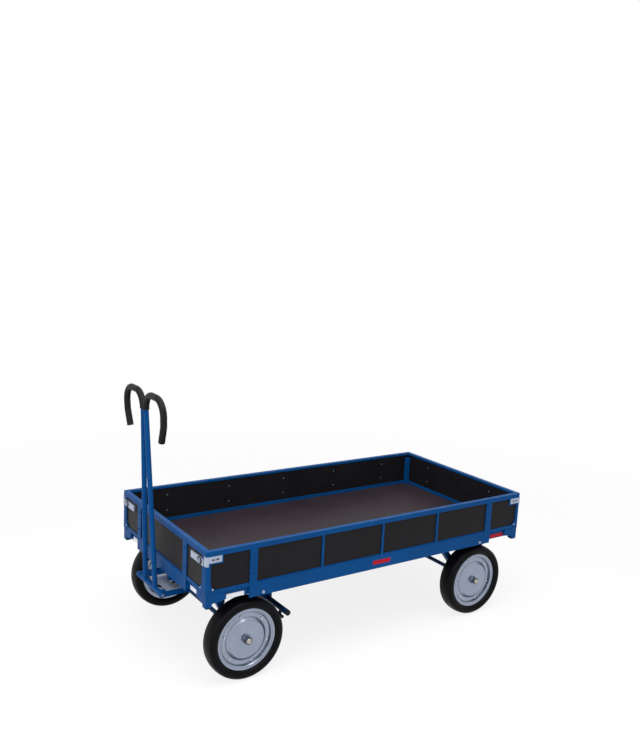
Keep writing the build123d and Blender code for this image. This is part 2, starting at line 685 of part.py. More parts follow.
def axle_support(axle_x, top, spread):
    """Two slanted legs that meet in a block round the axle, on one side of the trolley."""
    half_block = AXLE_DIAMETER / 2 + BLOCK_WALL
    foot_z = WHEEL_RADIUS + AXLE_DIAMETER / 2
    half_leg = LEG_WIDTH / 2 * math.hypot(1, (spread - LEG_FOOT) / (top - foot_z))
    y0 = SUPPORT_Y - SUPPORT_DEPTH / 2
    y1 = SUPPORT_Y + SUPPORT_DEPTH / 2
    pieces = [slab(
        axle_x - BLOCK_LENGTH / 2, axle_x + BLOCK_LENGTH / 2, y0, y1,
        WHEEL_RADIUS - half_block, WHEEL_RADIUS + half_block,
    )]
    for side in SIDES:
        foot_x = axle_x + side * LEG_FOOT
        head_x = axle_x + side * spread
        leg = (
            (foot_x - half_leg, foot_z),
            (foot_x + half_leg, foot_z),
            (head_x + half_leg, top),
            (head_x - half_leg, top),
        )
        pieces.append(plate_xz(leg, y0, y1))
    bore = rod_y(axle_x, WHEEL_RADIUS, y0, y1, AXLE_DIAMETER + 2 * SEAT_CLEARANCE)
    return joined(pieces) - bore


def axle_supports(axle_x, top, spread):
    """The supports on both sides of an axle."""
    support = axle_support(axle_x, top, spread)
    return [support, mirror(support, Plane.XZ)]


def turntable_plate(z0, z1, race_z0, race_z1):
    """A turntable disc with its raised race ring."""
    disc = rod_z(FRONT_AXLE_X, 0, z0, z1, 2 * TURNTABLE_RADIUS)
    race = rod_z(FRONT_AXLE_X, 0, race_z0, race_z1, 2 * TURNTABLE_RADIUS)
    race = race - rod_z(FRONT_AXLE_X, 0, race_z0, race_z1, 2 * (TURNTABLE_RADIUS - RACE_WIDTH))
    return disc + race


def upper_turntable():
    """The upper disc under the deck frame, with the kingpin."""
    low = FRAME_BOTTOM - TURNTABLE_PLATE
    disc = turntable_plate(low, FRAME_BOTTOM, low - RACE_HEIGHT, low)
    pin_end = TURNTABLE_BOTTOM - TURNTABLE_GAP - KINGPIN_NUT_HEIGHT - THREAD_OVERHANG
    return disc + rod_z(FRONT_AXLE_X, 0, pin_end, low, KINGPIN_DIAMETER)


def lower_turntable():
    """The lower disc on the steering frame, bored for the kingpin."""
    high = TURNTABLE_BOTTOM + TURNTABLE_PLATE
    disc = turntable_plate(TURNTABLE_BOTTOM, high, high, high + RACE_HEIGHT)
    bore = KINGPIN_DIAMETER + 2 * KINGPIN_CLEARANCE
    return disc - rod_z(FRONT_AXLE_X, 0, TURNTABLE_BOTTOM, high, bore)


def kingpin_nut():
    """The round nut under the lower disc."""
    high = TURNTABLE_BOTTOM - TURNTABLE_GAP
    low = high - KINGPIN_NUT_HEIGHT
    return rod_z(FRONT_AXLE_X, 0, low, high, KINGPIN_NUT_DIAMETER) - rod_z(
        FRONT_AXLE_X, 0, low, high, KINGPIN_DIAMETER
    )


def steering_frame():
    """Two square cross beams under the turntable."""
    shapes = []
    for side in SIDES:
        x = FRONT_AXLE_X + side * FRONT_LEG_SPREAD
        shapes.append(slab(
            x - BEAM_SIZE / 2, x + BEAM_SIZE / 2, -BEAM_HALF_LENGTH, BEAM_HALF_LENGTH,
            BEAM_BOTTOM, TURNTABLE_BOTTOM,
        ))
    return shapes


def fork_arms():
    """Two arms under the cross beams that carry the drawbar's pin."""
    rear = FRONT_AXLE_X - FORK_REAR_REACH
    nose = FORK_HEIGHT / 2
    shapes = []
    for side in SIDES:
        y0 = side * (FORK_Y - FORK_WIDTH / 2)
        y1 = side * (FORK_Y + FORK_WIDTH / 2)
        arm = slab(rear, PIVOT_X, y0, y1, FORK_BOTTOM, BEAM_BOTTOM)
        arm = arm + rod_y(PIVOT_X, FORK_BOTTOM + nose, y0, y1, FORK_HEIGHT)
        shapes.append(arm - rod_y(PIVOT_X, PIVOT_Z, y0, y1, PIN_DIAMETER))
    return shapes


def drawbar_pin():
    """The pin through the fork and the drawbar, with a head at each end."""
    half = FORK_Y + FORK_WIDTH / 2
    pin = rod_y(PIVOT_X, PIVOT_Z, -half, half, PIN_DIAMETER)
    heads = [
        rod_y(PIVOT_X, PIVOT_Z, side * half, side * (half + PIN_HEAD), PIN_HEAD_DIAMETER) for side in SIDES
    ]
    return joined([pin] + heads)


def stop_plate():
    """The folded plate on the left fork arm that the raised drawbar stands over."""
    front = PIVOT_X - DRAWBAR_TUBE / 2 - STOP_PLATE_GAP
    out = FORK_Y + FORK_WIDTH / 2
    top = BEAM_BOTTOM + STOP_PLATE_SHEET
    base = slab(front - STOP_PLATE_DEPTH, front, out - STOP_PLATE_SPAN, out, BEAM_BOTTOM, top)
    tab_back = front - STOP_PLATE_TAB_DEPTH
    tab_in = out - STOP_PLATE_TAB_SPAN
    tab = slab(tab_back, front, tab_in, out, BEAM_BOTTOM, top)
    fold_top = BEAM_BOTTOM + STOP_PLATE_FLANGE
    fold = slab(tab_back, front, tab_in, tab_in + STOP_PLATE_SHEET, BEAM_BOTTOM, fold_top)
    return base + tab + fold


def leaned(shape):
    """The drawbar's slight forward lean about its pin."""
    hinge = Axis((PIVOT_X, 0, PIVOT_Z), (0, 1, 0))
    return shape.rotate(hinge, DRAWBAR_LEAN)


def drawbar_path(side):
    """The centre line of one tube from its foot over the hook to its end."""
    slope = (DRAWBAR_FOOT_Y - DRAWBAR_NECK_Y) / (DRAWBAR_NECK_Z - PIVOT_Z)
    top_y = DRAWBAR_NECK_Y - slope * (HOOK_TOP_Z - DRAWBAR_NECK_Z)
    points = (
        (PIVOT_X, side * DRAWBAR_FOOT_Y, PIVOT_Z),
        (PIVOT_X, side * top_y, HOOK_TOP_Z),
        (PIVOT_X, side * HOOK_OUT_Y, HOOK_TOP_Z),
        (PIVOT_X, side * HOOK_TURN_Y, HOOK_TURN_Z),
        (PIVOT_X, side * HOOK_END_Y, HOOK_END_Z),
    )
    return FilletPolyline(*points, radius=HOOK_BEND)


def swept(side, diameter):
    """A round bar along one tube's centre line."""
    path = drawbar_path(side)
    start = Plane(origin=path @ 0, z_dir=path % 0)
    return sweep(start * Circle(diameter / 2), path=path)


def hook_end(side):
    """The space round the closed end of one grip."""
    y0 = side * (HOOK_OUT_Y - HOOK_BEND)
    y1 = side * (HOOK_END_Y + HOOK_BEND)
    low = HOOK_END_Z - GRIP_DIAMETER
    return slab(PIVOT_X - GRIP_DIAMETER, PIVOT_X + GRIP_DIAMETER, y0, y1, low, HOOK_END_Z + GRIP_END)


def below_neck():
    """The space round the tubes below the place where the grips start."""
    half = HOOK_OUT_Y - HOOK_BEND
    return slab(
        PIVOT_X - GRIP_DIAMETER, PIVOT_X + GRIP_DIAMETER, -half, half,
        PIVOT_Z - GRIP_DIAMETER, DRAWBAR_NECK_Z,
    )


def drawbar_frame():
    """The pivot tube, the two tubes and a small spacer between them, welded together."""
    half = FORK_Y - FORK_WIDTH / 2 - PIVOT_TUBE_GAP
    pieces = [rod_y(PIVOT_X, PIVOT_Z, -half, half, PIVOT_TUBE)]
    for side in SIDES:
        tube = swept(side, DRAWBAR_TUBE) - hook_end(side)
        pieces.append(tube - swept(side, DRAWBAR_TUBE - 2 * DRAWBAR_WALL))
    half_spacer = DRAWBAR_NECK_Y + (DRAWBAR_FOOT_Y - DRAWBAR_NECK_Y) * (DRAWBAR_NECK_Z - SPACER_Z) / (
        DRAWBAR_NECK_Z - PIVOT_Z
    ) - DRAWBAR_TUBE / 2 + DRAWBAR_WALL / 2
    pieces.append(rod_y(PIVOT_X, SPACER_Z, -half_spacer, half_spacer, SPACER_DIAMETER))
    frame = joined(pieces)
    bore = rod_y(PIVOT_X, PIVOT_Z, -half, half, PIN_DIAMETER + 2 * PIN_CLEARANCE)
    return leaned(frame - bore)


def grips():
    """Closed sleeves over both hooks."""
    shapes = []
    for side in SIDES:
        core = swept(side, DRAWBAR_TUBE + 2 * GRIP_CLEARANCE) - hook_end(side)
        shapes.append(leaned(swept(side, GRIP_DIAMETER) - core - below_neck()))
    return shapes


def shoe_bracket(side):
    """The plate that carries one brake shoe under the cross tube."""
    y0 = side * (SHOE_INNER_Y - SHOE_BRACKET)
    y1 = side * SHOE_INNER_Y
    half = SHOE_DIAMETER / 2
    span = math.hypot(SHOE_X - BRAKE_TUBE_X, SHOE_Z - BRAKE_TUBE_Z)
    across_x = half * (BRAKE_TUBE_Z - SHOE_Z) / span
    across_z = half * (SHOE_X - BRAKE_TUBE_X) / span
    outline = (
        (BRAKE_TUBE_X + across_x, BRAKE_TUBE_Z + across_z),
        (SHOE_X + across_x, SHOE_Z + across_z),
        (SHOE_X - across_x, SHOE_Z - across_z),
        (BRAKE_TUBE_X - across_x, BRAKE_TUBE_Z - across_z),
    )
    return plate_xz(outline, y0, y1) + rod_y(SHOE_X, SHOE_Z, y0, y1, SHOE_DIAMETER)


def brake_bars():
    """The brake's cross tube with a bracket for each shoe."""
    tube = rod_y(BRAKE_TUBE_X, BRAKE_TUBE_Z, -BRAKE_HALF_LENGTH, BRAKE_HALF_LENGTH, BRAKE_TUBE_DIAMETER)
    return [joined([tube] + [shoe_bracket(side) for side in SIDES])]


def brake_caps():
    """Plastic caps on both ends of the cross tube, and the two rubber shoes."""
    # Each row is a piece's X, Z, inner end, outer end and diameter.
    rows = (
        (BRAKE_TUBE_X, BRAKE_TUBE_Z, BRAKE_HALF_LENGTH, BRAKE_HALF_LENGTH + BRAKE_CAP, BRAKE_TUBE_DIAMETER),
        (SHOE_X, SHOE_Z, SHOE_INNER_Y, SHOE_OUTER_Y, SHOE_DIAMETER),
    )
    return [
        rod_y(x, z, side * y0, side * y1, diameter) for x, z, y0, y1, diameter in rows for side in SIDES
    ]


def brake_arms():
    """Two plates that hang the cross tube from the rear cross beam."""
    root_x = FRONT_AXLE_X - FRONT_LEG_SPREAD - BEAM_SIZE / 2
    reach = BRAKE_TUBE_DIAMETER / 2 + BRAKE_ARM_MARGIN
    points = (
        (root_x, TURNTABLE_BOTTOM),
        (root_x, BEAM_BOTTOM),
        (BRAKE_TUBE_X + reach, BRAKE_TUBE_Z - reach),
        (BRAKE_TUBE_X - reach, BRAKE_TUBE_Z - reach),
        (BRAKE_TUBE_X - reach, BRAKE_TUBE_Z + reach),
    )
    shapes = []
    for side in SIDES:
        y0 = side * BRAKE_ARM_Y
        y1 = side * (BRAKE_ARM_Y + BRAKE_ARM_THICKNESS)
        bore = rod_y(BRAKE_TUBE_X, BRAKE_TUBE_Z, y0, y1, BRAKE_TUBE_DIAMETER + 2 * BRAKE_CLEARANCE)
        shapes.append(plate_xz(points, y0, y1) - bore)
    return shapes


def write_chassis():
    write("deck_frame", [deck_frame()])
    write("deck_board", [deck_board()])
    write("corner_sockets", corner_sockets())
    write("socket_caps", socket_caps())
    write("corner_posts", corner_posts())
    write("stake_pockets", stake_pockets())
    write("upper_turntable", [upper_turntable()])
    write("kingpin_nut", [kingpin_nut()])


def write_axles():
    # Each row is the name, the axle's X, the level its legs reach up to and their spread there.
    rows = (
        ("rear", REAR_AXLE_X, FRAME_BOTTOM, REAR_LEG_SPREAD),
        ("front", FRONT_AXLE_X, BEAM_BOTTOM, FRONT_LEG_SPREAD),
    )
    for name, axle_x, top, spread in rows:
        write(f"{name}_axle", [axle(axle_x)])
        write(f"{name}_axle_nuts", axle_nuts(axle_x))
        write(f"{name}_axle_supports", axle_supports(axle_x, top, spread))


def write_wheels():
    shapes = (("tyre", tyre()), ("rim", rim()), ("hub", hub()))
    for name, axle_x, side in WHEELS:
        for piece, shape in shapes:
            write(f"{piece}_{name}", [wheel_place(axle_x, side) * shape])


def write_steering():
    write("lower_turntable", [lower_turntable()])
    write("steering_frame", steering_frame())
    write("fork_arms", fork_arms())
    write("drawbar_pin", [drawbar_pin()])
    write("stop_plate", [stop_plate()])
    write("brake_bars", brake_bars())
    write("brake_caps", brake_caps())
    write("brake_arms", brake_arms())


def write_drawbar():
    write("drawbar_frame", [drawbar_frame()])
    write("grips", grips())


def write_sides():
    long_frame = long_side_frame()
    long_panel = side_panel(LONG_HALF - BAR_THICKNESS)
    keepers = [keeper(side) for side in SIDES]
    for name, turn, reach in LONG_SIDES:
        write(f"side_frame_{name}", [turned(long_frame, turn, reach)])
        write(f"side_panel_{name}", [turned(long_panel, turn, reach)])
        write(f"latch_keepers_{name}", [turned(shape, turn, reach) for shape in keepers])
    short_frame = short_side_frame()
    short_panel = side_panel(SHORT_HALF)
    latches = [shape for side in SIDES for shape in staple_latch(side)]
    for name, turn, reach in SHORT_SIDES:
        write(f"side_frame_{name}", [turned(short_frame, turn, reach)])
        write(f"side_panel_{name}", [turned(short_panel, turn, reach)])
        write(f"latches_{name}", [turned(shape, turn, reach) for shape in latches])


def main():
    write_chassis()
    write_axles()
    write_wheels()
    write_steering()
    write_drawbar()
    write_sides()


if __name__ == "__main__":
    main()
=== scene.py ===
"""Finishes and small pieces for a platform trolley with sides, laid out as an add-on."""
import math

import bpy
from mathutils import Matrix, Vector


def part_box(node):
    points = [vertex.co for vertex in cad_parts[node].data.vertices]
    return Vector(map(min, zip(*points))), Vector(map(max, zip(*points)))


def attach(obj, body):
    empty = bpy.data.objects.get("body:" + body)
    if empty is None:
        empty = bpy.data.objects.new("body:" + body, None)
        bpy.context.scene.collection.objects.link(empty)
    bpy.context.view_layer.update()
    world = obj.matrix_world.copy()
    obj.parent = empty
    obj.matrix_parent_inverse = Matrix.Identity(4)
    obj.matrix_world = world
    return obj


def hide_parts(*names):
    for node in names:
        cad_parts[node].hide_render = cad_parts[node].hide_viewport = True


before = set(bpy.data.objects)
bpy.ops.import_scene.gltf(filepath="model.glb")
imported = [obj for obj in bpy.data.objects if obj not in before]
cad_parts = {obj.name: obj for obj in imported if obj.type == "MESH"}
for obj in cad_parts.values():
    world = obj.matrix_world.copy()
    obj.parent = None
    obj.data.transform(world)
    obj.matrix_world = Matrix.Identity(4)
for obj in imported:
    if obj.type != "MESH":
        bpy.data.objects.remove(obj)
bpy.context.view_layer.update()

bl_info = {
    "name": "Platform Trolley Finisher",
    "version": (1, 0, 0),
    "blender": (4, 5, 0),
    "location": "View3D > Sidebar > Trolley",
    "description": "Paints a platform trolley and adds its bolts, latch rings, strips and studio",
    "category": "Object",
}

PHOTO_WIDTH = 640
PHOTO_HEIGHT = 732
SENSOR = 36.0

WHEELS = ("front_left", "front_right", "rear_left", "rear_right")
SIDES = ("left", "right", "front", "rear")
LONG_SIDES = ("left", "right")
SHORT_SIDES = ("front", "rear")

# Paint gives way to bare metal over this distance.
FADE = 0.0008
# The moulded rings on a tyre's walls repeat at this distance.
RING_PITCH = 0.009
# Each painted crease shade of a wheel disc is its radius, its width and how dark the painted shade gets.
CREASE_SHADES = ((0.1065, 0.0040, 0.75), (0.1310, 0.0036, 0.80), (0.1400, 0.0030, 0.45), (0.0930, 0.0024, 0.35))

# Radii by which the finishes round edges off.
COAT_EDGE = 0.0016
THIN_COAT_EDGE = 0.0012
# The woven mesh of the deck's film repeats at this distance.
DECK_MESH_PITCH = 0.006
# A washer's radius over that of the hexagon head on it.
APRON_WASHER = 1.2
BEAM_WASHER = 1.4
# A rivet's height over its radius.
RIVET_RISE = 0.6
# The share of a turn between rivets by which a wheel's first rivet is set on.
RIVET_START = 0.25
# Tones of the fittings against plain zinc.
BRIGHT_FITTINGS = 1.25
DULL_BOLTS = 0.4
# The axles' blue is darkened as painted shade under the bed.
AXLE_PAINTED_SHADE = 0.6
# Angles under which neighbouring faces are shaded as one.
SMOOTH_DEGREES = 38.0
NUT_SMOOTH_DEGREES = 25.0
FLOOR_SIZE = 60.0
CLIP_END = 200.0

FRAME_LOW, FRAME_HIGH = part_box("deck_frame")
BED_CENTRE_X = (FRAME_LOW.x + FRAME_HIGH.x) / 2


def length_setting(name, description, default):
    """A setting in metres."""
    return bpy.props.FloatProperty(name=name, description=description, default=default, unit="LENGTH")


def colour_setting(name, description, default):
    """A setting for a colour."""
    return bpy.props.FloatVectorProperty(
        name=name, description=description, default=default, subtype="COLOR", size=3,
    )


class TrolleySizes(bpy.types.PropertyGroup):
    """Sizes of the small pieces."""

    bolt_radius: length_setting("Bolt head radius", "Radius of the domed bolt heads on the sides", 0.0046)
    bolt_height: length_setting("Bolt head height", "Height of the domed bolt heads on the sides", 0.0028)
    long_stake: length_setting(
        "Long side stakes", "Distance of a long side's stakes from the bed's middle", 0.755,
    )
    short_stake: length_setting(
        "Short side stakes", "Distance of a short side's stakes from the bed's middle", 0.275,
    )
    rib_pitch: length_setting("Rib pitch", "Distance between the ribs of a long side", 0.370)
    long_foot_inset: length_setting(
        "Long side foot bolts", "Distance of a long side's gusset bolts from its end", 0.035,
    )
    short_foot_inset: length_setting(
        "Short side foot bolts", "Distance of a short side's gusset bolts from its end", 0.025,
    )
    foot_bolt_height: length_setting(
        "Foot bolt height", "Height of the gusset bolts above the floor", 0.499,
    )
    apron_bolt_reach: length_setting(
        "Apron bolts", "Distance of the apron bolts from the bed's middle", 0.700,
    )
    apron_bolt_height: length_setting(
        "Apron bolt height", "Height of the apron bolts above the floor", 0.434,
    )
    keeper_rivet_radius: length_setting(
        "Keeper rivet radius", "Half the height of the oblong rivets in the latch keepers", 0.0036,
    )
    keeper_rivet_stretch: bpy.props.FloatProperty(
        name="Keeper rivet stretch", description="Length of a keeper's oblong rivet over its height",
        default=2.1,
    )
    keeper_rivet_pitch: length_setting(
        "Keeper rivet pitch", "Distance between the two rivets of a keeper", 0.022,
    )
    keeper_rivet_inset: length_setting(
        "Keeper rivet inset", "Distance of a keeper's first rivet from the corner", 0.036,
    )
    # The latch ring is painted shade: a dark ring where the slot round the staple lies in shade.
    shade_ring_length: length_setting(
        "Latch ring length", "Length of the dark oval ring round a latch's staple", 0.046,
    )
    shade_ring_height: length_setting(
        "Latch ring height", "Height of the dark oval ring round a latch's staple", 0.036,
    )
    ring_thickness: length_setting(
        "Latch ring thickness", "How far a latch's ring stands off its plate", 0.0022,
    )
    collar_length: length_setting(
        "Latch collar length", "Length of the bright oval collar at the foot of a staple", 0.018,
    )
    collar_height: length_setting(
        "Latch collar height", "Height of the bright oval collar at the foot of a staple", 0.026,
    )
    latch_inset: length_setting(
        "Latch inset", "Distance of a staple's middle from the end of its latch plate", 0.0350,
    )
    staple_proud: length_setting("Staple height", "How far a staple stands off its latch plate", 0.008)
    nut_radius: length_setting("Hexagon radius", "Corner radius of the small hexagon heads", 0.0062)
    nut_height: length_setting("Hexagon height", "Height of the small hexagon heads", 0.0042)
    axle_nut_radius: length_setting(
        "Axle nut radius", "Corner radius of the nuts that hold the wheels", 0.0200,
    )
    axle_end_radius: length_setting(
        "Axle end radius", "Radius of the threaded axle ends outside their nuts", 0.0125,
    )
    axle_seat_gap: length_setting(
        "Axle nut clearance", "Gap between a wheel's hub and the nut that holds it", 0.0004,
    )
    bright_axle: length_setting(
        "Bright axle ends", "Distance from the middle at which an axle's paint ends", 0.404,
    )
    pin_core: length_setting("Pin core", "Radius of the bare end of the drawbar's pin", 0.0075)
    bolt_row_high: length_setting(
        "Upper bolt row", "Height of the upper row of side bolts above the floor", 0.626,
    )
    bolt_row_low: length_setting(
        "Lower bolt row", "Height of the lower row of side bolts above the floor", 0.536,
    )
    rivet_radius: length_setting(
        "Rim rivet radius", "Radius of the domed rivets in a wheel disc's trough", 0.0060,
    )
    rim_bolt_circle: length_setting(
        "Rim rivet circle", "Radius of the circle of rivets on a wheel disc", 0.118,
    )
    rim_trough_depth: length_setting(
        "Rim trough depth", "Depth of a wheel disc's trough behind the rim's edge", 0.013,
    )
    rim_bolt_count: bpy.props.IntProperty(
        name="Rim rivets", description="Number of rivets on a wheel disc", default=6,
    )
    strip_height: length_setting("Strip height", "Height of the plain reflective strips", 0.021)
    strip_thickness: length_setting("Strip thickness", "Thickness of the plain reflective strips", 0.0008)
    strip_round: length_setting("Strip corner", "Corner radius of the plain reflective strips", 0.0025)


class TrolleyColours(bpy.types.PropertyGroup):
    """Colours of the finishes."""

    blue: colour_setting("Blue paint", "Powder coat on the steelwork", (0.0018, 0.056, 0.200))
    panel: colour_setting("Side panel film", "Film on the plywood of the sides", (0.0080, 0.0070, 0.0084))
    deck: colour_setting("Deck film", "Film on the plywood of the deck", (0.024, 0.0165, 0.0215))
    zinc: colour_setting("Zinc", "Bright zinc plate on the wheel discs and fittings", (0.29, 0.33, 0.42))
    rivet: colour_setting(
        "Bright rivets", "Polished zinc on the rivets of the wheel discs", (0.50, 0.53, 0.59),
    )
    # This dark tone is partly painted dark reflection on the oiled steel of the axle nuts, and the keeper
    # rivets use it as painted shade.
    nut: colour_setting("Axle nuts", "Dark oiled steel of the axle nuts", (0.055, 0.065, 0.090))
    thread: colour_setting("Axle ends", "Yellow zinc on the threaded axle ends", (0.46, 0.44, 0.38))
    rubber: colour_setting("Tyre rubber", "Rubber of the tyres", (0.0022, 0.0023, 0.0030))
    navy: colour_setting("Dark blue paint", "Paint on the brake tube", (0.0030, 0.0260, 0.0800))
    black: colour_setting("Black plastic", "Plugs, caps and grips", (0.0060, 0.0060, 0.0070))
    white: colour_setting("White strip", "White reflective strips", (0.78, 0.78, 0.84))
    red: colour_setting("Red strip", "Red reflective strips", (0.41, 0.002, 0.017))
    floor: colour_setting("Floor", "Pale studio floor", (0.95, 0.95, 0.95))


class TrolleyStudio(bpy.types.PropertyGroup):
    """Camera and light of the studio."""

    eye: bpy.props.FloatVectorProperty(
        name="Camera place", description="Where the camera stands, from the bed's centre on the floor",
        subtype="TRANSLATION", size=3, unit="LENGTH", default=(2.5877, 3.6284, 2.0822),
    )
    yaw: bpy.props.FloatProperty(
        name="Camera yaw", description="Direction of view about the upright, from the drawbar's direction",
        subtype="ANGLE", default=math.radians(235.37),
    )
    pitch: bpy.props.FloatProperty(
        name="Camera pitch", description="Tilt of the view below the horizon", subtype="ANGLE",
        default=math.radians(9.89),
    )
    roll: bpy.props.FloatProperty(
        name="Camera roll", description="Turn of the camera about its view", subtype="ANGLE",
        default=math.radians(2.9),
    )
    focal_pixels: bpy.props.FloatProperty(
        name="Focal length", description="Focal length in pixels of the photograph's frame", default=830.5,
    )
    middle_x: bpy.props.FloatProperty(
        name="Optical centre X", description="Pixel column of the view's axis", default=322.2,
    )
    middle_y: bpy.props.FloatProperty(
        name="Optical centre Y", description="Pixel row of the view's axis", default=380.8,
    )
    sky_level: bpy.props.FloatProperty(
        name="Sky level", description="Strength of the even light from all round", default=0.55,
    )
    floor_white: bpy.props.FloatProperty(
        name="Floor white", description="Share of plain white in the floor near the trolley", default=0.84,
    )
    shadow_reach: bpy.props.FloatProperty(
        name="Shadow reach", description="Distance at which the floor starts to turn plain white",
        unit="LENGTH", default=2.4,
    )
    key_power: bpy.props.FloatProperty(
        name="Key power", description="Power of the large overhead lamp", unit="POWER", default=150.0,
    )
    fill_power: bpy.props.FloatProperty(
        name="Fill power", description="Power of the lamp beside the camera", unit="POWER", default=42.0,
    )


def sizes():
    """The size settings of the scene."""
    return bpy.context.scene.trolley_sizes


def colours():
    """The colour settings of the scene."""
    return bpy.context.scene.trolley_colours


def studio():
    """The studio settings of the scene."""
    return bpy.context.scene.trolley_studio


class Finish:
    """A node material that reads Object coordinates, built a few nodes at a time."""

    def __init__(self, name):
        self.material = bpy.data.materials.new(name)
        self.material.use_nodes = True
        self.tree = self.material.node_tree
        self.surface = self.tree.nodes["Principled BSDF"]
        self.place = self.tree.nodes.new("ShaderNodeTexCoord").outputs["Object"]

    def node(self, kind, **values):
        """A new node with some of its own settings."""
        made = self.tree.nodes.new(kind)
        for key, value in values.items():
            setattr(made, key, value)
        return made

    def join(self, source, target):
        """A link from one socket to another."""
        self.tree.links.new(source, target)

    def set(self, **values):
        """Plain values on the shader's own sockets."""
        for key, value in values.items():
            self.surface.inputs[key.replace("_", " ")].default_value = value

    def stretched(self, scale=(1, 1, 1), centre=(0, 0, 0)):
        """Object coordinates moved to a centre and stretched along the axes."""
        mapping = self.node("ShaderNodeMapping", vector_type="POINT")
        mapping.inputs["Scale"].default_value = scale
        mapping.inputs["Location"].default_value = [-c * s for c, s in zip(centre, scale)]
        self.join(self.place, mapping.inputs["Vector"])
        return mapping.outputs["Vector"]

    def noise(self, scale, detail=3.0, rough=0.5, place=None):
        """Soft noise in cycles per metre."""
        made = self.node("ShaderNodeTexNoise")
        made.inputs["Scale"].default_value = scale
        made.inputs["Detail"].default_value = detail
        made.inputs["Roughness"].default_value = rough
        self.join(place or self.place, made.inputs["Vector"])
        return made.outputs["Fac"]

    def ranged(self, source, low, high, from_low=0.3, from_high=0.7):
        """A value carried from one range to another."""
        made = self.node("ShaderNodeMapRange")
        made.inputs["From Min"].default_value = from_low
        made.inputs["From Max"].default_value = from_high
        made.inputs["To Min"].default_value = low
        made.inputs["To Max"].default_value = high
        self.join(source, made.inputs["Value"])
        return made.outputs["Result"]

    def maths(self, operation, first, second):
        """Arithmetic on a socket and a socket or number."""
        made = self.node("ShaderNodeMath", operation=operation)
        self.join(first, made.inputs[0])
        if isinstance(second, (int, float)):
            made.inputs[1].default_value = second
        else:
            self.join(second, made.inputs[1])
        return made.outputs["Value"]

    def blend(self, factor, low, high):
        """A colour between two colours, each a colour or a socket."""
        made = self.node("ShaderNodeMix", data_type="RGBA")
        self.join(factor, made.inputs["Factor"])
        for value, key in ((low, "A"), (high, "B")):
            socket = [s for s in made.inputs if s.name == key and s.type == "RGBA"][0]
            if isinstance(value, bpy.types.NodeSocket):
                self.join(value, socket)
            else:
                socket.default_value = (*value, 1.0)
        return [s for s in made.outputs if s.type == "RGBA"][0]

    def colour(self, source):
        """The base colour from a socket."""
        self.join(source, self.surface.inputs["Base Color"])

    def roughness(self, source):
        """The roughness from a socket."""
        self.join(source, self.surface.inputs["Roughness"])

    def relief(self, height, strength, depth, under=None):
        """Bump from a height socket, over another normal if one is given."""
        made = self.node("ShaderNodeBump")
        made.inputs["Strength"].default_value = strength
        made.inputs["Distance"].default_value = depth
        self.join(height, made.inputs["Height"])
        if under is not None:
            self.join(under, made.inputs["Normal"])
        self.join(made.outputs["Normal"], self.surface.inputs["Normal"])
        return made.outputs["Normal"]

    def from_axis(self, centre):
        """The distance from an axis along Y through a centre."""
        made = self.node("ShaderNodeVectorMath", operation="LENGTH")
        self.join(self.stretched((1.0, 0.0, 1.0), centre), made.inputs[0])
        return made.outputs["Value"]

    def from_middle(self):
        """The distance from the trolley's middle plane."""
        split = self.node("ShaderNodeSeparateXYZ")
        self.join(self.place, split.inputs["Vector"])
        return self.maths("ABSOLUTE", split.outputs["Y"], 0.0)

    def soft_edges(self, radius):
        """Normals that round the edges off by a small radius."""
        made = self.node("ShaderNodeBevel", samples=4)
        made.inputs["Radius"].default_value = radius
        return made.outputs["Normal"]


def shade(colour, factor):
    """A colour made lighter or darker."""
    return tuple(channel * factor for channel in colour)


def powder_coat(name, colour, edge_radius):
    """Satin powder coat: faint orange peel, slow drift of tone and a few rubbed patches."""
    made = Finish(name)
    drift = made.noise(3.0, 2.0)
    tone = made.blend(made.ranged(drift, 0.0, 1.0), shade(colour, 0.90), shade(colour, 1.10))
    scuff = made.noise(46.0, 6.0, 0.65)
    rubbed = made.ranged(scuff, 0.0, 0.35, 0.62, 0.80)
    pale = tuple(0.80 * channel + 0.012 for channel in colour)
    made.colour(made.blend(rubbed, tone, pale))
    made.roughness(made.ranged(made.noise(18.0, 4.0), 0.30, 0.44))
    made.set(Specular_IOR_Level=0.05)
    made.relief(made.noise(420.0, 2.0), 0.06, 0.0006, made.soft_edges(edge_radius))
    return made.material


def film_panel(name, colour):
    """Smooth dark film over plywood: faint long grain showing through and a dull sheen."""
    made = Finish(name)
    grain = made.noise(30.0, 4.0, 0.6, made.stretched((0.35, 1.0, 6.0)))
    cloud = made.noise(5.0, 3.0)
    tone = made.blend(made.ranged(grain, 0.0, 1.0), shade(colour, 0.80), shade(colour, 1.20))
    made.colour(made.blend(made.ranged(cloud, 0.0, 0.35), tone, shade(colour, 1.7)))
    made.roughness(made.ranged(cloud, 0.40, 0.52))
    made.set(Specular_IOR_Level=0.10)
    made.relief(grain, 0.10, 0.0006, made.soft_edges(0.0008))
    return made.material


def mesh_film(name, colour, pitch):
    """Deck film pressed with a fine woven mesh for grip, over plywood."""
    made = Finish(name)
    cloud = made.noise(2.2, 4.0, 0.55)
    grain = made.noise(24.0, 4.0, 0.6, made.stretched((0.3, 5.0, 1.0)))
    tone = made.blend(made.ranged(cloud, 0.0, 1.0), shade(colour, 0.82), shade(colour, 1.18))
    made.colour(made.blend(made.ranged(grain, 0.0, 0.4), tone, shade(colour, 0.70)))
    made.roughness(made.ranged(cloud, 0.42, 0.58))
    made.set(Specular_IOR_Level=0.18)
    ridges = []
    for axis in ("X", "Y"):
        wave = made.node("ShaderNodeTexWave", wave_type="BANDS", bands_direction=axis, wave_profile="SIN")
        wave.inputs["Scale"].default_value = math.pi / 10 / pitch
        made.join(made.place, wave.inputs["Vector"])
        ridges.append(wave.outputs["Fac"])
    made.relief(made.maths("MAXIMUM", ridges[0], ridges[1]), 0.35, 0.0005)
    return made.material


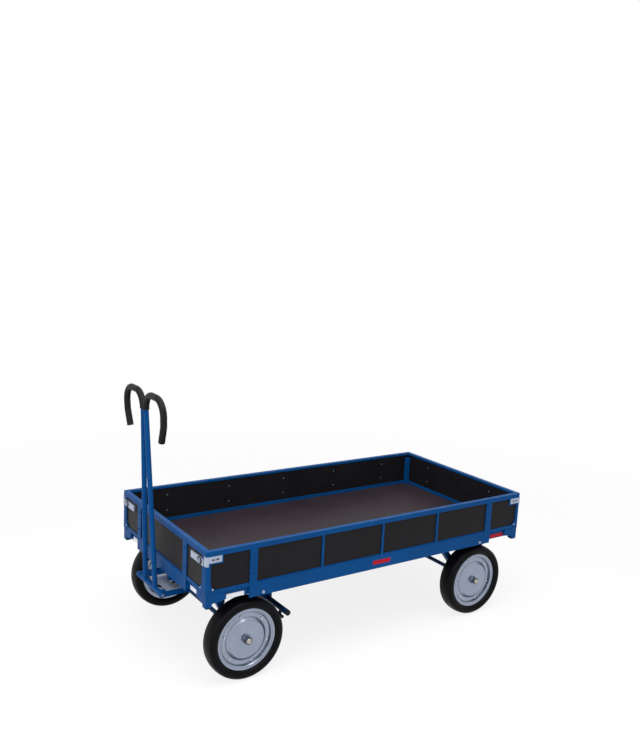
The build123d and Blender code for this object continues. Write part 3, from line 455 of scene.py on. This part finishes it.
def zinc_tone(made, colour):
    """The mottled tone of zinc plate, with the slow cloud that its roughness follows."""
    spangle = made.node("ShaderNodeTexVoronoi")
    spangle.inputs["Scale"].default_value = 120.0
    made.join(made.place, spangle.inputs["Vector"])
    cell = made.ranged(spangle.outputs["Distance"], 0.0, 1.0, 0.1, 0.7)
    cloud = made.noise(14.0, 4.0)
    tone = made.blend(cell, shade(colour, 0.94), shade(colour, 1.06))
    return made.blend(made.ranged(cloud, 0.0, 0.5), tone, shade(colour, 0.86)), cloud


def zinc_fittings(name, colour):
    """Dull zinc plate on bolts, nuts, latches and folded plates."""
    made = Finish(name)
    tone, cloud = zinc_tone(made, colour)
    made.colour(tone)
    made.roughness(made.ranged(cloud, 0.34, 0.48))
    made.set(Metallic=0.45, Specular_IOR_Level=0.35)
    made.relief(made.noise(300.0, 2.0), 0.05, 0.0004, made.soft_edges(0.0008))
    return made.material


def zinc_disc(name, colour, centre, crease_shades):
    """Bright zinc on a pressed wheel disc: fine turned rings, and painted shade in the creases of the
    pressing.
    """
    made = Finish(name)
    tone, cloud = zinc_tone(made, colour)
    radius = made.from_axis(centre)
    crease_shade = None
    # Painted shade: the disc darkens in narrow rings at the creases of the pressing.
    for reach, width, share in crease_shades:
        away = made.maths("ABSOLUTE", made.maths("SUBTRACT", radius, reach), 0.0)
        crease = made.ranged(away, share, 0.0, 0.0, width)
        crease_shade = crease if crease_shade is None else made.maths("MAXIMUM", crease_shade, crease)
    patchy_shade = made.maths("MULTIPLY", crease_shade, made.ranged(made.noise(26.0, 3.0), 0.55, 1.0))
    # The painted shade is made patchy by noise and darkens the zinc towards a deep tone.
    made.colour(made.blend(patchy_shade, tone, shade(colour, 0.16)))
    made.roughness(made.ranged(cloud, 0.15, 0.27))
    made.set(Metallic=0.92, Specular_IOR_Level=0.5)
    rings = made.node("ShaderNodeTexNoise", noise_dimensions="1D")
    rings.inputs["Scale"].default_value = 420.0
    rings.inputs["Detail"].default_value = 2.0
    made.join(radius, rings.inputs["W"])
    made.relief(rings.outputs["Fac"], 0.10, 0.0006, made.soft_edges(0.0012))
    return made.material


def part_painted(name, paint, metal, bare):
    """Paint that stops at bare zinc-plated steel, by a test made on the object's coordinates."""
    made = Finish(name)
    tone, cloud = zinc_tone(made, metal)
    drift = made.noise(3.0, 2.0)
    coat = made.blend(made.ranged(drift, 0.0, 1.0), shade(paint, 0.90), shade(paint, 1.10))
    share = bare(made)
    made.colour(made.blend(share, coat, tone))
    made.join(made.maths("MULTIPLY", share, 0.8), made.surface.inputs["Metallic"])
    made.roughness(made.ranged(cloud, 0.26, 0.40))
    made.set(Specular_IOR_Level=0.12)
    made.relief(made.noise(420.0, 2.0), 0.06, 0.0006, made.soft_edges(0.001))
    return made.material


def tyre_rubber(name, colour, centre):
    """Solid rubber: dusty tread, moulded rings on the walls and a fine grain."""
    made = Finish(name)
    dust = made.noise(22.0, 5.0, 0.6)
    made.colour(made.blend(made.ranged(dust, 0.0, 0.6), colour, shade(colour, 2.2)))
    made.roughness(made.ranged(dust, 0.34, 0.50))
    made.set(Specular_IOR_Level=0.07)
    wave = made.maths("MULTIPLY", made.from_axis(centre), 2 * math.pi / RING_PITCH)
    moulded = made.ranged(made.maths("SINE", wave, 0.0), 0.0, 1.0, 0.86, 1.0)
    made.relief(moulded, 0.25, 0.0006, made.relief(made.noise(260.0, 2.0), 0.10, 0.0004))
    return made.material


def moulded_plastic(name, colour):
    """Black plastic with a fine moulded grain."""
    made = Finish(name)
    cloud = made.noise(40.0, 3.0)
    made.colour(made.blend(made.ranged(cloud, 0.0, 1.0), shade(colour, 0.85), shade(colour, 1.35)))
    made.roughness(made.ranged(cloud, 0.42, 0.56))
    made.set(Specular_IOR_Level=0.14)
    made.relief(made.noise(700.0, 2.0), 0.12, 0.0003)
    return made.material


def strip_film(name, colour):
    """Reflective strip: a close honeycomb under clear film."""
    made = Finish(name)
    cells = made.node("ShaderNodeTexVoronoi", feature="DISTANCE_TO_EDGE")
    cells.inputs["Scale"].default_value = 420.0
    made.join(made.place, cells.inputs["Vector"])
    made.colour(made.blend(
        made.ranged(cells.outputs["Distance"], 0.0, 1.0, 0.0, 0.12), shade(colour, 0.86), colour,
    ))
    made.roughness(made.ranged(made.noise(60.0), 0.26, 0.36))
    made.set(Specular_IOR_Level=0.12)
    return made.material


def clear_selection():
    """Leave edit mode and select nothing."""
    if bpy.context.mode != "OBJECT":
        bpy.ops.object.mode_set(mode="OBJECT")
    bpy.ops.object.select_all(action="DESELECT")


def pick(piece, kind, test):
    """Enter edit mode with the faces, edges or vertices that pass a test selected."""
    bpy.ops.object.mode_set(mode="EDIT")
    bpy.ops.mesh.select_mode(type=kind)
    bpy.ops.mesh.select_all(action="DESELECT")
    bpy.ops.object.mode_set(mode="OBJECT")
    mesh = piece.data
    if kind == "FACE":
        for face in mesh.polygons:
            face.select = test(face.center, face.normal)
    elif kind == "EDGE":
        for edge in mesh.edges:
            edge.select = test(*(mesh.vertices[i].co for i in edge.vertices))
    else:
        for vertex in mesh.vertices:
            vertex.select = test(vertex.co)
    bpy.ops.object.mode_set(mode="EDIT")


def domed_head(radius, height):
    """A round domed bolt head that stands on the XY plane."""
    clear_selection()
    bpy.ops.mesh.primitive_cylinder_add(vertices=20, radius=radius, depth=height, location=(0, 0, height / 2))
    head = bpy.context.object
    bpy.ops.object.transform_apply(location=True)
    pick(head, "FACE", lambda centre, normal: normal.z > 0.9)
    bpy.ops.mesh.inset(thickness=radius * 0.30)
    bpy.ops.transform.translate(value=(0, 0, height * 0.30))
    bpy.ops.mesh.inset(thickness=radius * 0.35)
    bpy.ops.transform.translate(value=(0, 0, height * 0.12))
    clear_selection()
    return head


def socket_head(radius, height):
    """A low round head with a hollow in its top, standing on the XY plane."""
    clear_selection()
    bpy.ops.mesh.primitive_cylinder_add(vertices=24, radius=radius, depth=height, location=(0, 0, height / 2))
    head = bpy.context.object
    bpy.ops.object.transform_apply(location=True)
    pick(head, "FACE", lambda centre, normal: normal.z > 0.9)
    bpy.ops.mesh.inset(thickness=radius * 0.12)
    bpy.ops.transform.translate(value=(0, 0, height * 0.25))
    bpy.ops.mesh.inset(thickness=radius * 0.22)
    bpy.ops.mesh.extrude_region_move(TRANSFORM_OT_translate={"value": (0, 0, -height * 0.9)})
    bpy.ops.mesh.inset(thickness=radius * 0.10)
    clear_selection()
    return head


def hexagon_head(radius, height, washer):
    """A hexagon head with chamfered corners on a round washer, standing on the XY plane."""
    clear_selection()
    bpy.ops.mesh.primitive_cylinder_add(vertices=24, radius=washer, depth=height * 0.3)
    base = bpy.context.object
    bpy.ops.transform.translate(value=(0, 0, height * 0.15))
    bpy.ops.mesh.primitive_cylinder_add(vertices=6, radius=radius, depth=height)
    head = bpy.context.object
    bpy.ops.transform.translate(value=(0, 0, height * 0.8))
    bpy.ops.object.transform_apply(location=True)
    pick(head, "FACE", lambda centre, normal: normal.z > 0.9)
    bpy.ops.mesh.inset(thickness=radius * 0.12)
    bpy.ops.transform.translate(value=(0, 0, height * 0.12))
    clear_selection()
    base.select_set(True)
    head.select_set(True)
    bpy.context.view_layer.objects.active = head
    bpy.ops.object.join()
    return head


def copies_at(model, places):
    """Copies of a model at each place, joined into one object. The model itself is used up."""
    copies = []
    for place in places:
        copy = model.copy()
        copy.data = model.data.copy()
        copy.matrix_world = place @ model.matrix_world
        bpy.context.collection.objects.link(copy)
        copies.append(copy)
    bpy.data.objects.remove(model)
    clear_selection()
    for copy in copies:
        copy.select_set(True)
    bpy.context.view_layer.objects.active = copies[0]
    if len(copies) > 1:
        bpy.ops.object.join()
    bpy.ops.object.transform_apply(location=True, rotation=True, scale=True)
    return bpy.context.object


def finish_piece(piece, name, body, material, smooth_degrees=SMOOTH_DEGREES):
    """Name, smooth, paint and carry a finished piece."""
    clear_selection()
    piece.select_set(True)
    bpy.context.view_layer.objects.active = piece
    bpy.ops.object.transform_apply(location=True, rotation=True, scale=True)
    bpy.ops.object.shade_smooth_by_angle(angle=math.radians(smooth_degrees))
    piece.name = name
    piece.data.name = name
    piece.data.materials.clear()
    piece.data.materials.append(material)
    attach(piece, body)
    clear_selection()
    return piece


def standing_on(point, normal):
    """A place whose Z axis runs along a normal."""
    turn = Vector((0, 0, 1)).rotation_difference(Vector(normal)).to_matrix().to_4x4()
    return Matrix.Translation(point) @ turn


def upright_on(point, normal):
    """A place whose Z axis runs along a level normal and whose Y axis points up."""
    level = Vector((0, 0, 1)).cross(Vector(normal))
    turn = Matrix((level, (0, 0, 1), normal)).transposed().to_4x4()
    return Matrix.Translation(point) @ turn


def outward(side):
    """The direction that a side faces."""
    return {
        "left": Vector((0, 1, 0)),
        "right": Vector((0, -1, 0)),
        "front": Vector((1, 0, 0)),
        "rear": Vector((-1, 0, 0)),
    }[side]


def along(side):
    """The direction that runs along a side."""
    return Vector((1, 0, 0)) if side in LONG_SIDES else Vector((0, 1, 0))


def inner_face_of(side):
    """The distance of a side panel's inner face along its outward direction."""
    low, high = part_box(f"side_panel_{side}")
    way = outward(side)
    return min(low.dot(way), high.dot(way))


def skin_of(side):
    """The distance of a side frame's outer face along its outward direction."""
    low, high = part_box(f"side_frame_{side}")
    way = outward(side)
    return max(low.dot(way), high.dot(way))


def spot_on(side, offset, height, reach):
    """A point of a side, from the bed's middle along it, above the floor and outwards."""
    middle = Vector((BED_CENTRE_X if side in LONG_SIDES else 0.0, 0, 0))
    flat = middle + along(side) * offset
    way = outward(side)
    return flat - way * flat.dot(way) + way * reach + Vector((0, 0, height))


def upright_offsets(side):
    """The distances of a side's bolted uprights from the bed's middle."""
    size = sizes()
    if side in LONG_SIDES:
        return [0.0] + [way * step for step in (size.long_stake, size.rib_pitch) for way in (-1, 1)]
    return [-size.short_stake, size.short_stake]


def end_offset(side):
    """The distance of the end of a side's frame from the bed's middle."""
    low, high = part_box(f"side_frame_{side}")
    return (high - low).dot(along(side)) / 2


def wheel_centre(wheel):
    """The middle of a wheel."""
    low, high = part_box(f"tyre_{wheel}")
    return (low + high) / 2


def paint(nodes, material):
    """Give CAD nodes a finish."""
    for name in nodes:
        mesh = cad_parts[name].data
        mesh.materials.clear()
        mesh.materials.append(material)


class TROLLEY_OT_finishes(bpy.types.Operator):
    """Paint the steelwork, plywood, tyres and fittings"""

    bl_idname = "trolley.finishes"
    bl_label = "Finishes"

    def execute(self, context):
        tint = colours()
        blue = powder_coat("blue_powder_coat", tint.blue, COAT_EDGE)
        dark = powder_coat("black_paint", tint.black, THIN_COAT_EDGE)
        navy = powder_coat("dark_blue_powder_coat", tint.navy, THIN_COAT_EDGE)
        zinc = zinc_fittings("zinc_fittings", shade(tint.zinc, BRIGHT_FITTINGS))
        plastic = moulded_plastic("black_plastic", tint.black)
        grip = moulded_plastic("black_grip_rubber", tint.black)
        paint((
            "deck_frame", "corner_sockets", "corner_posts", "stake_pockets", "steering_frame", "fork_arms",
            "brake_arms", "drawbar_frame", "front_axle_supports", "rear_axle_supports",
        ), blue)
        paint([f"side_frame_{side}" for side in SIDES], blue)
        paint(("upper_turntable", "lower_turntable"), dark)
        paint(("brake_bars",), navy)
        size = sizes()
        # The axles' blue is darkened as painted shade under the bed, and their ends are bare zinc.
        paint(("front_axle", "rear_axle"), part_painted(
            "axle_paint", shade(tint.blue, AXLE_PAINTED_SHADE), tint.zinc,
            lambda made: made.ranged(
                made.from_middle(), 0.0, 1.0, size.bright_axle - FADE, size.bright_axle,
            ),
        ))
        low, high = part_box("drawbar_pin")
        paint(("drawbar_pin",), part_painted(
            "drawbar_pin_paint", tint.blue, tint.zinc,
            lambda made: made.ranged(
                made.from_axis((low + high) / 2), 1.0, 0.0, size.pin_core, size.pin_core + FADE,
            ),
        ))
        paint(("kingpin_nut", "stop_plate", "front_axle_nuts", "rear_axle_nuts"), zinc)
        paint([f"latch_keepers_{side}" for side in LONG_SIDES], zinc)
        paint([f"latches_{side}" for side in SHORT_SIDES], zinc)
        paint(("socket_caps", "brake_caps"), plastic)
        paint(("grips",), grip)
        paint([f"side_panel_{side}" for side in SIDES], film_panel("side_panel_film", tint.panel))
        paint(("deck_board",), mesh_film("deck_mesh_film", tint.deck, DECK_MESH_PITCH))
        for wheel in WHEELS:
            centre = wheel_centre(wheel)
            disc = zinc_disc(f"zinc_disc_{wheel}", tint.zinc, centre, CREASE_SHADES)
            paint((f"rim_{wheel}", f"hub_{wheel}"), disc)
            paint((f"tyre_{wheel}",), tyre_rubber(f"tyre_rubber_{wheel}", tint.rubber, centre))
        return {"FINISHED"}


class TROLLEY_OT_side_bolts(bpy.types.Operator):
    """Add the bolts that hold the panels to the stakes and ribs, and the bolts of gussets and aprons"""

    bl_idname = "trolley.side_bolts"
    bl_label = "Side bolts"

    def execute(self, context):
        size = sizes()
        zinc = bpy.data.materials["zinc_fittings"]
        blue = bpy.data.materials["blue_powder_coat"]
        dull = zinc_fittings("dull_bolts", shade(colours().zinc, DULL_BOLTS))
        for side in SIDES:
            way = outward(side)
            inner = inner_face_of(side)
            skin = skin_of(side)
            rows = (size.bolt_row_high, size.bolt_row_low)
            spots = [(offset, height) for offset in upright_offsets(side) for height in rows]
            inside = [standing_on(spot_on(side, offset, height, inner), -way) for offset, height in spots]
            outside = [standing_on(spot_on(side, offset, height, skin), way) for offset, height in spots]
            heads = copies_at(domed_head(size.bolt_radius, size.bolt_height), inside)
            finish_piece(heads, f"panel_bolts_{side}", f"side_{side}", dull)
            nuts = copies_at(domed_head(size.bolt_radius, size.bolt_height), outside)
            finish_piece(nuts, f"stake_bolts_{side}", f"side_{side}", blue)
            inset = size.long_foot_inset if side in LONG_SIDES else size.short_foot_inset
            foot = end_offset(side) - inset
            feet = [
                standing_on(spot_on(side, sign * foot, size.foot_bolt_height, skin), way) for sign in (-1, 1)
            ]
            rivets = copies_at(domed_head(size.bolt_radius, size.bolt_height), feet)
            finish_piece(rivets, f"foot_bolts_{side}", f"side_{side}", zinc)
            if side in LONG_SIDES:
                reach, height = size.apron_bolt_reach, size.apron_bolt_height
                ends = [standing_on(spot_on(side, sign * reach, height, skin), way) for sign in (-1, 1)]
                head = hexagon_head(size.nut_radius, size.nut_height, size.nut_radius * APRON_WASHER)
                bolts = copies_at(head, ends)
                finish_piece(bolts, f"apron_bolts_{side}", f"side_{side}", zinc)
        return {"FINISHED"}


class TROLLEY_OT_keeper_rivets(bpy.types.Operator):
    """Add the two oblong rivets of each latch keeper, dark all over with the painted shade of their hollows
    """

    bl_idname = "trolley.keeper_rivets"
    bl_label = "Keeper rivets"

    def execute(self, context):
        size = sizes()
        # The rivets take the dark nut colour as painted shade of the hollows in their heads.
        dark = zinc_fittings("slot_shade_rivets", colours().nut)
        oblong = Matrix.Diagonal((size.keeper_rivet_stretch, 1.0, 1.0, 1.0))
        for side in LONG_SIDES:
            low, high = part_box(f"latch_keepers_{side}")
            way = outward(side)
            plate = max(low.dot(way), high.dot(way))
            # The keeper strip's middle is two thirds of the way up the node's box.
            height = low.z + (high.z - low.z) * 2 / 3
            ends = (high.x - low.x) / 2 - size.keeper_rivet_inset
            middle = (low.x + high.x) / 2 - BED_CENTRE_X
            places = []
            for sign in (-1, 1):
                for step in (0, 1):
                    offset = middle + sign * (ends - step * size.keeper_rivet_pitch)
                    places.append(upright_on(spot_on(side, offset, height, plate), way) @ oblong)
            rivets = copies_at(socket_head(size.keeper_rivet_radius, size.bolt_height / 2), places)
            finish_piece(rivets, f"keeper_screws_{side}", f"side_{side}", dark)
        return {"FINISHED"}


def oval_boss(length, height, thickness, lip, sink):
    """An oval disc with a rounded lip and a sunk face, standing on the XY plane."""
    clear_selection()
    bpy.ops.mesh.primitive_cylinder_add(
        vertices=40, radius=0.5, depth=thickness, location=(0, 0, thickness / 2),
    )
    disc = bpy.context.object
    disc.scale = (length, height, 1.0)
    bpy.ops.object.transform_apply(location=True, scale=True)
    pick(disc, "FACE", lambda centre, normal: normal.z > 0.9)
    bpy.ops.mesh.inset(thickness=lip / 2)
    bpy.ops.transform.translate(value=(0, 0, lip / 4))
    bpy.ops.mesh.inset(thickness=lip)
    bpy.ops.mesh.inset(thickness=lip / 4)
    bpy.ops.transform.translate(value=(0, 0, -sink))
    clear_selection()
    return disc


class TROLLEY_OT_latch_rings(bpy.types.Operator):
    """Add the dark oval ring, a painted shade of the slot, and the bright collar round the staple of each
    latch
    """

    bl_idname = "trolley.latch_rings"
    bl_label = "Latch rings"

    def execute(self, context):
        size = sizes()
        black = bpy.data.materials["black_plastic"]
        zinc = bpy.data.materials["zinc_fittings"]
        for side in SHORT_SIDES:
            low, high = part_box(f"latches_{side}")
            way = outward(side)
            plate = max(low.dot(way), high.dot(way)) - size.staple_proud
            height = (low.z + high.z) / 2
            ends = (high.y - low.y) / 2 - size.latch_inset
            lip = size.ring_thickness
            # The black ring is painted shade of the slot round the staple.
            ring = (size.shade_ring_length, size.shade_ring_height, lip, lip, lip / 3)
            collar = (size.collar_length, size.collar_height, lip, lip / 2, lip / 6)
            # Each row is the name, slot, finish, shape and height of the foot above the plate.
            rows = (
                ("rings", "black_plastic", black, ring, 0.0),
                ("collars", "zinc", zinc, collar, lip / 3),
            )
            for name, slot, finish, shape, foot in rows:
                places = [
                    upright_on(spot_on(side, sign * ends, height, plate + foot), way) for sign in (-1, 1)
                ]
                piece = copies_at(oval_boss(*shape), places)
                finish_piece(piece, f"latch_{name}_{side}", f"side_{side}", finish)
        return {"FINISHED"}


class TROLLEY_OT_rim_rivets(bpy.types.Operator):
    """Add the ring of rivets in each wheel disc's trough"""

    bl_idname = "trolley.rim_rivets"
    bl_label = "Rim rivets"

    def execute(self, context):
        size = sizes()
        bright = zinc_fittings("bright_rivets", colours().rivet)
        for wheel in WHEELS:
            side = 1 if wheel.endswith("left") else -1
            centre = wheel_centre(wheel)
            low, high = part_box(f"rim_{wheel}")
            edge = high.y if side > 0 else low.y
            face = edge - side * size.rim_trough_depth
            places = []
            for number in range(size.rim_bolt_count):
                turn = 2 * math.pi * (number + RIVET_START) / size.rim_bolt_count
                spot = Vector((
                    centre.x + size.rim_bolt_circle * math.cos(turn), face,
                    centre.z + size.rim_bolt_circle * math.sin(turn),
                ))
                places.append(standing_on(spot, (0, side, 0)))
            rivets = copies_at(domed_head(size.rivet_radius, size.rivet_radius * RIVET_RISE), places)
            finish_piece(rivets, f"rim_rivets_{wheel}", f"wheel_{wheel}", bright)
        return {"FINISHED"}


def axle_end(nut_radius, nut_height, end_radius, reach):
    """A chamfered hexagon nut with a threaded axle end through it, standing on the XY plane."""
    clear_selection()
    bpy.ops.mesh.primitive_cylinder_add(
        vertices=6, radius=nut_radius, depth=nut_height, location=(0, 0, nut_height / 2),
    )
    nut = bpy.context.object
    bpy.ops.object.transform_apply(location=True)
    pick(nut, "FACE", lambda centre, normal: normal.z > 0.9)
    bpy.ops.mesh.inset(thickness=nut_radius * 0.10)
    bpy.ops.transform.translate(value=(0, 0, nut_height * 0.10))
    clear_selection()
    bpy.ops.mesh.primitive_cylinder_add(
        vertices=32, radius=end_radius, depth=reach, location=(0, 0, reach / 2),
    )
    stud = bpy.context.object
    bpy.ops.object.transform_apply(location=True)
    pick(stud, "FACE", lambda centre, normal: normal.z > 0.9)
    bpy.ops.mesh.inset(thickness=end_radius * 0.16)
    bpy.ops.transform.translate(value=(0, 0, end_radius * 0.16))
    bpy.ops.mesh.inset(thickness=end_radius * 0.55)
    bpy.ops.transform.translate(value=(0, 0, -end_radius * 0.14))
    clear_selection()
    stud.select_set(True)
    nut.select_set(True)
    bpy.context.view_layer.objects.active = nut
    bpy.ops.object.join()
    return nut


class TROLLEY_OT_axle_ends(bpy.types.Operator):
    """Put the full-size nut and threaded end on each axle spindle"""

    bl_idname = "trolley.axle_ends"
    bl_label = "Axle ends"

    def execute(self, context):
        size = sizes()
        tint = colours()
        for axle, body in (("front", "steering"), ("rear", "chassis")):
            low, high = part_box(f"{axle}_axle_nuts")
            middle = (low + high) / 2
            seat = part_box(f"hub_{axle}_left")[1].y + size.axle_seat_gap
            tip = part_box(f"{axle}_axle")[1].y
            # The nut's dark tone is partly painted dark reflection on oiled steel, and the threaded end is
            # yellow zinc.
            steel = part_painted(
                f"axle_end_steel_{axle}", tint.nut, tint.thread,
                lambda made: made.ranged(
                    made.from_axis(middle), 1.0, 0.0, size.axle_end_radius, size.axle_end_radius + FADE,
                ),
            )
            places = [
                standing_on(Vector((middle.x, side * seat, middle.z)), (0, side, 0)) for side in (-1, 1)
            ]
            model = axle_end(size.axle_nut_radius, high.y - seat, size.axle_end_radius, tip - seat)
            nuts = copies_at(model, places)
            finish_piece(nuts, f"axle_ends_{axle}", body, steel, NUT_SMOOTH_DEGREES)
            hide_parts(f"{axle}_axle_nuts")
        return {"FINISHED"}


class TROLLEY_OT_beam_bolts(bpy.types.Operator):
    """Add a bolt to each end of the steering frame's cross beams"""

    bl_idname = "trolley.beam_bolts"
    bl_label = "Beam bolts"

    def execute(self, context):
        size = sizes()
        low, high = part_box("steering_frame")
        half_beam = (high.z - low.z) / 2
        places = []
        for x in (low.x + half_beam, high.x - half_beam):
            places.append(standing_on(Vector((x, high.y, low.z + half_beam)), (0, 1, 0)))
            places.append(standing_on(Vector((x, low.y, low.z + half_beam)), (0, -1, 0)))
        head = hexagon_head(size.nut_radius, size.nut_height, size.nut_radius * BEAM_WASHER)
        bolts = copies_at(head, places)
        finish_piece(bolts, "beam_bolts", "steering", bpy.data.materials["zinc_fittings"])
        return {"FINISHED"}


def strip(middle, length, normal):
    """A thin strip with rounded corners, flat on an upright face."""
    size = sizes()
    clear_selection()
    bpy.ops.mesh.primitive_cube_add(size=1.0)
    piece = bpy.context.object
    piece.scale = (length, size.strip_height, size.strip_thickness)
    bpy.ops.object.transform_apply(scale=True)
    pick(piece, "EDGE", lambda a, b: abs(a.z - b.z) > size.strip_thickness / 2)
    bpy.ops.mesh.bevel(offset=size.strip_round, segments=4)
    clear_selection()
    piece.matrix_world = upright_on(Vector(middle) + Vector(normal) * size.strip_thickness / 2, normal)
    return piece


class TROLLEY_OT_strips(bpy.types.Operator):
    """Add the plain reflective strips"""

    bl_idname = "trolley.strips"
    bl_label = "Reflective strips"

    def execute(self, context):
        tint = colours()
        white = strip_film("white_strip_film", tint.white)
        red = strip_film("red_strip_film", tint.red)
        rail_y = FRAME_HIGH.y
        apron_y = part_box("side_frame_left")[1].y
        front_x = FRAME_HIGH.x - BED_CENTRE_X
        ahead = (1, 0, 0)
        left = (0, 1, 0)
        # Each row is the place, body, colour, middle from the bed's centre, length and the way it faces.
        rows = (
            ("side", "chassis", "white", (0.835, rail_y, 0.444), 0.104, left),
            ("front_left", "chassis", "white", (front_x, 0.331, 0.444), 0.110, ahead),
            ("front_right", "chassis", "white", (front_x, -0.331, 0.444), 0.110, ahead),
            ("side", "side_left", "red", (0.0, apron_y, 0.454), 0.112, left),
            ("rear", "chassis", "red", (-0.846, rail_y, 0.446), 0.104, left),
        )
        films = {"white": white, "red": red}
        for place, body, hue, (x, y, z), length, way in rows:
            piece = strip((BED_CENTRE_X + x, y, z), length, way)
            finish_piece(piece, f"{hue}_strip_{place}", body, films[hue])
        return {"FINISHED"}


class TROLLEY_OT_studio(bpy.types.Operator):
    """Add the floor, the light and the camera"""

    bl_idname = "trolley.studio"
    bl_label = "Studio"

    def execute(self, context):
        self.floor()
        self.sky()
        self.lamps()
        self.camera()
        context.scene.view_settings.view_transform = "Standard"
        return {"FINISHED"}

    def floor(self):
        """A wide pale floor."""
        clear_selection()
        bpy.ops.mesh.primitive_plane_add(size=FLOOR_SIZE)
        ground = bpy.context.object
        ground.name = "studio_floor"
        made = Finish("studio_floor_paint")
        pale = colours().floor
        made.colour(made.blend(made.ranged(made.noise(0.6), 0.0, 1.0), shade(pale, 0.995), pale))
        made.set(Roughness=0.9, Specular_IOR_Level=0.1)
        output = made.tree.nodes["Material Output"]
        glow = made.node("ShaderNodeEmission")
        mixed = made.node("ShaderNodeMixShader")
        path = made.node("ShaderNodeLightPath")
        seen = made.maths("MAXIMUM", path.outputs["Is Camera Ray"], path.outputs["Is Glossy Ray"])
        seen = made.maths("MAXIMUM", seen, path.outputs["Is Transmission Ray"])
        reach = made.node("ShaderNodeVectorMath", operation="LENGTH")
        made.join(made.place, reach.inputs[0])
        view = studio()
        share = made.ranged(
            reach.outputs["Value"], view.floor_white, 1.0, view.shadow_reach, view.shadow_reach * 2,
        )
        made.join(made.maths("MULTIPLY", seen, share), mixed.inputs["Fac"])
        made.join(made.surface.outputs["BSDF"], mixed.inputs[1])
        made.join(glow.outputs["Emission"], mixed.inputs[2])
        made.join(mixed.outputs["Shader"], output.inputs["Surface"])
        ground.data.materials.append(made.material)

    def sky(self):
        """Even white light, seen as plain white by the camera and in reflections."""
        world = bpy.data.worlds.new("studio_sky")
        world.use_nodes = True
        tree = world.node_tree
        back = tree.nodes["Background"]
        back.inputs["Color"].default_value = (1.0, 1.0, 1.0, 1.0)
        path = tree.nodes.new("ShaderNodeLightPath")
        seen = path.outputs["Is Camera Ray"]
        for ray in ("Is Glossy Ray", "Is Transmission Ray"):
            either = tree.nodes.new("ShaderNodeMath")
            either.operation = "MAXIMUM"
            tree.links.new(seen, either.inputs[0])
            tree.links.new(path.outputs[ray], either.inputs[1])
            seen = either.outputs["Value"]
        level = tree.nodes.new("ShaderNodeMapRange")
        level.inputs["To Min"].default_value = studio().sky_level
        level.inputs["To Max"].default_value = 1.0
        tree.links.new(seen, level.inputs["Value"])
        tree.links.new(level.outputs["Result"], back.inputs["Strength"])
        bpy.context.scene.world = world

    def lamps(self):
        """A large soft lamp overhead and a smaller one beside the camera."""
        # Each row is the name, power, size, place and the point that the lamp looks at.
        rows = (
            ("overhead_lamp", studio().key_power, 3.6, (0.6, 1.2, 4.2), (0.0, 0.0, 0.4)),
            ("front_lamp", studio().fill_power, 2.4, (3.6, 1.4, 2.4), (0.2, 0.0, 0.4)),
        )
        for name, power, size, place, aim in rows:
            clear_selection()
            bpy.ops.object.light_add(type="AREA", location=place)
            lamp = bpy.context.object
            lamp.name = name
            lamp.data.energy = power
            lamp.data.size = size
            lamp.rotation_euler = (Vector(aim) - Vector(place)).to_track_quat("-Z", "Y").to_euler()

    def camera(self):
        """A camera that stands where the photograph was taken."""
        view = studio()
        ahead = Vector((
            math.cos(view.pitch) * math.cos(view.yaw), math.cos(view.pitch) * math.sin(view.yaw),
            -math.sin(view.pitch),
        ))
        level = ahead.cross(Vector((0, 0, 1))).normalized()
        upright = level.cross(ahead)
        right = math.cos(view.roll) * level + math.sin(view.roll) * upright
        up = -math.sin(view.roll) * level + math.cos(view.roll) * upright
        clear_selection()
        bpy.ops.object.camera_add()
        camera = bpy.context.object
        camera.name = "photo_camera"
        turn = Matrix((right, up, -ahead)).transposed().to_4x4()
        camera.matrix_world = Matrix.Translation(Vector(view.eye) + Vector((BED_CENTRE_X, 0, 0))) @ turn
        camera.data.sensor_width = SENSOR
        camera.data.lens = view.focal_pixels * SENSOR / PHOTO_HEIGHT
        camera.data.shift_x = (PHOTO_WIDTH / 2 - view.middle_x) / PHOTO_HEIGHT
        camera.data.shift_y = (view.middle_y - PHOTO_HEIGHT / 2) / PHOTO_HEIGHT
        camera.data.clip_end = CLIP_END
        bpy.context.scene.camera = camera


OPERATORS = (
    TROLLEY_OT_finishes,
    TROLLEY_OT_side_bolts,
    TROLLEY_OT_keeper_rivets,
    TROLLEY_OT_latch_rings,
    TROLLEY_OT_rim_rivets,
    TROLLEY_OT_axle_ends,
    TROLLEY_OT_beam_bolts,
    TROLLEY_OT_strips,
    TROLLEY_OT_studio,
)


class TROLLEY_PT_panel(bpy.types.Panel):
    """The trolley's settings and steps"""

    bl_idname = "TROLLEY_PT_panel"
    bl_label = "Platform trolley"
    bl_space_type = "VIEW_3D"
    bl_region_type = "UI"
    bl_category = "Trolley"

    def draw(self, context):
        for operator in OPERATORS:
            self.layout.operator(operator.bl_idname)
        for settings in (sizes(), colours(), studio()):
            column = self.layout.column()
            for key in settings.bl_rna.properties.keys():
                if key not in ("rna_type", "name"):
                    column.prop(settings, key)


CLASSES = (TrolleySizes, TrolleyColours, TrolleyStudio, *OPERATORS, TROLLEY_PT_panel)


def register():
    for cls in CLASSES:
        bpy.utils.register_class(cls)
    bpy.types.Scene.trolley_sizes = bpy.props.PointerProperty(type=TrolleySizes)
    bpy.types.Scene.trolley_colours = bpy.props.PointerProperty(type=TrolleyColours)
    bpy.types.Scene.trolley_studio = bpy.props.PointerProperty(type=TrolleyStudio)


def unregister():
    del bpy.types.Scene.trolley_sizes
    del bpy.types.Scene.trolley_colours
    del bpy.types.Scene.trolley_studio
    for cls in reversed(CLASSES):
        bpy.utils.unregister_class(cls)


def main():
    register()
    bpy.ops.trolley.finishes()
    bpy.ops.trolley.side_bolts()
    bpy.ops.trolley.keeper_rivets()
    bpy.ops.trolley.latch_rings()
    bpy.ops.trolley.rim_rivets()
    bpy.ops.trolley.axle_ends()
    bpy.ops.trolley.beam_bolts()
    bpy.ops.trolley.strips()
    bpy.ops.trolley.studio()


if __name__ == "__main__":
    main()
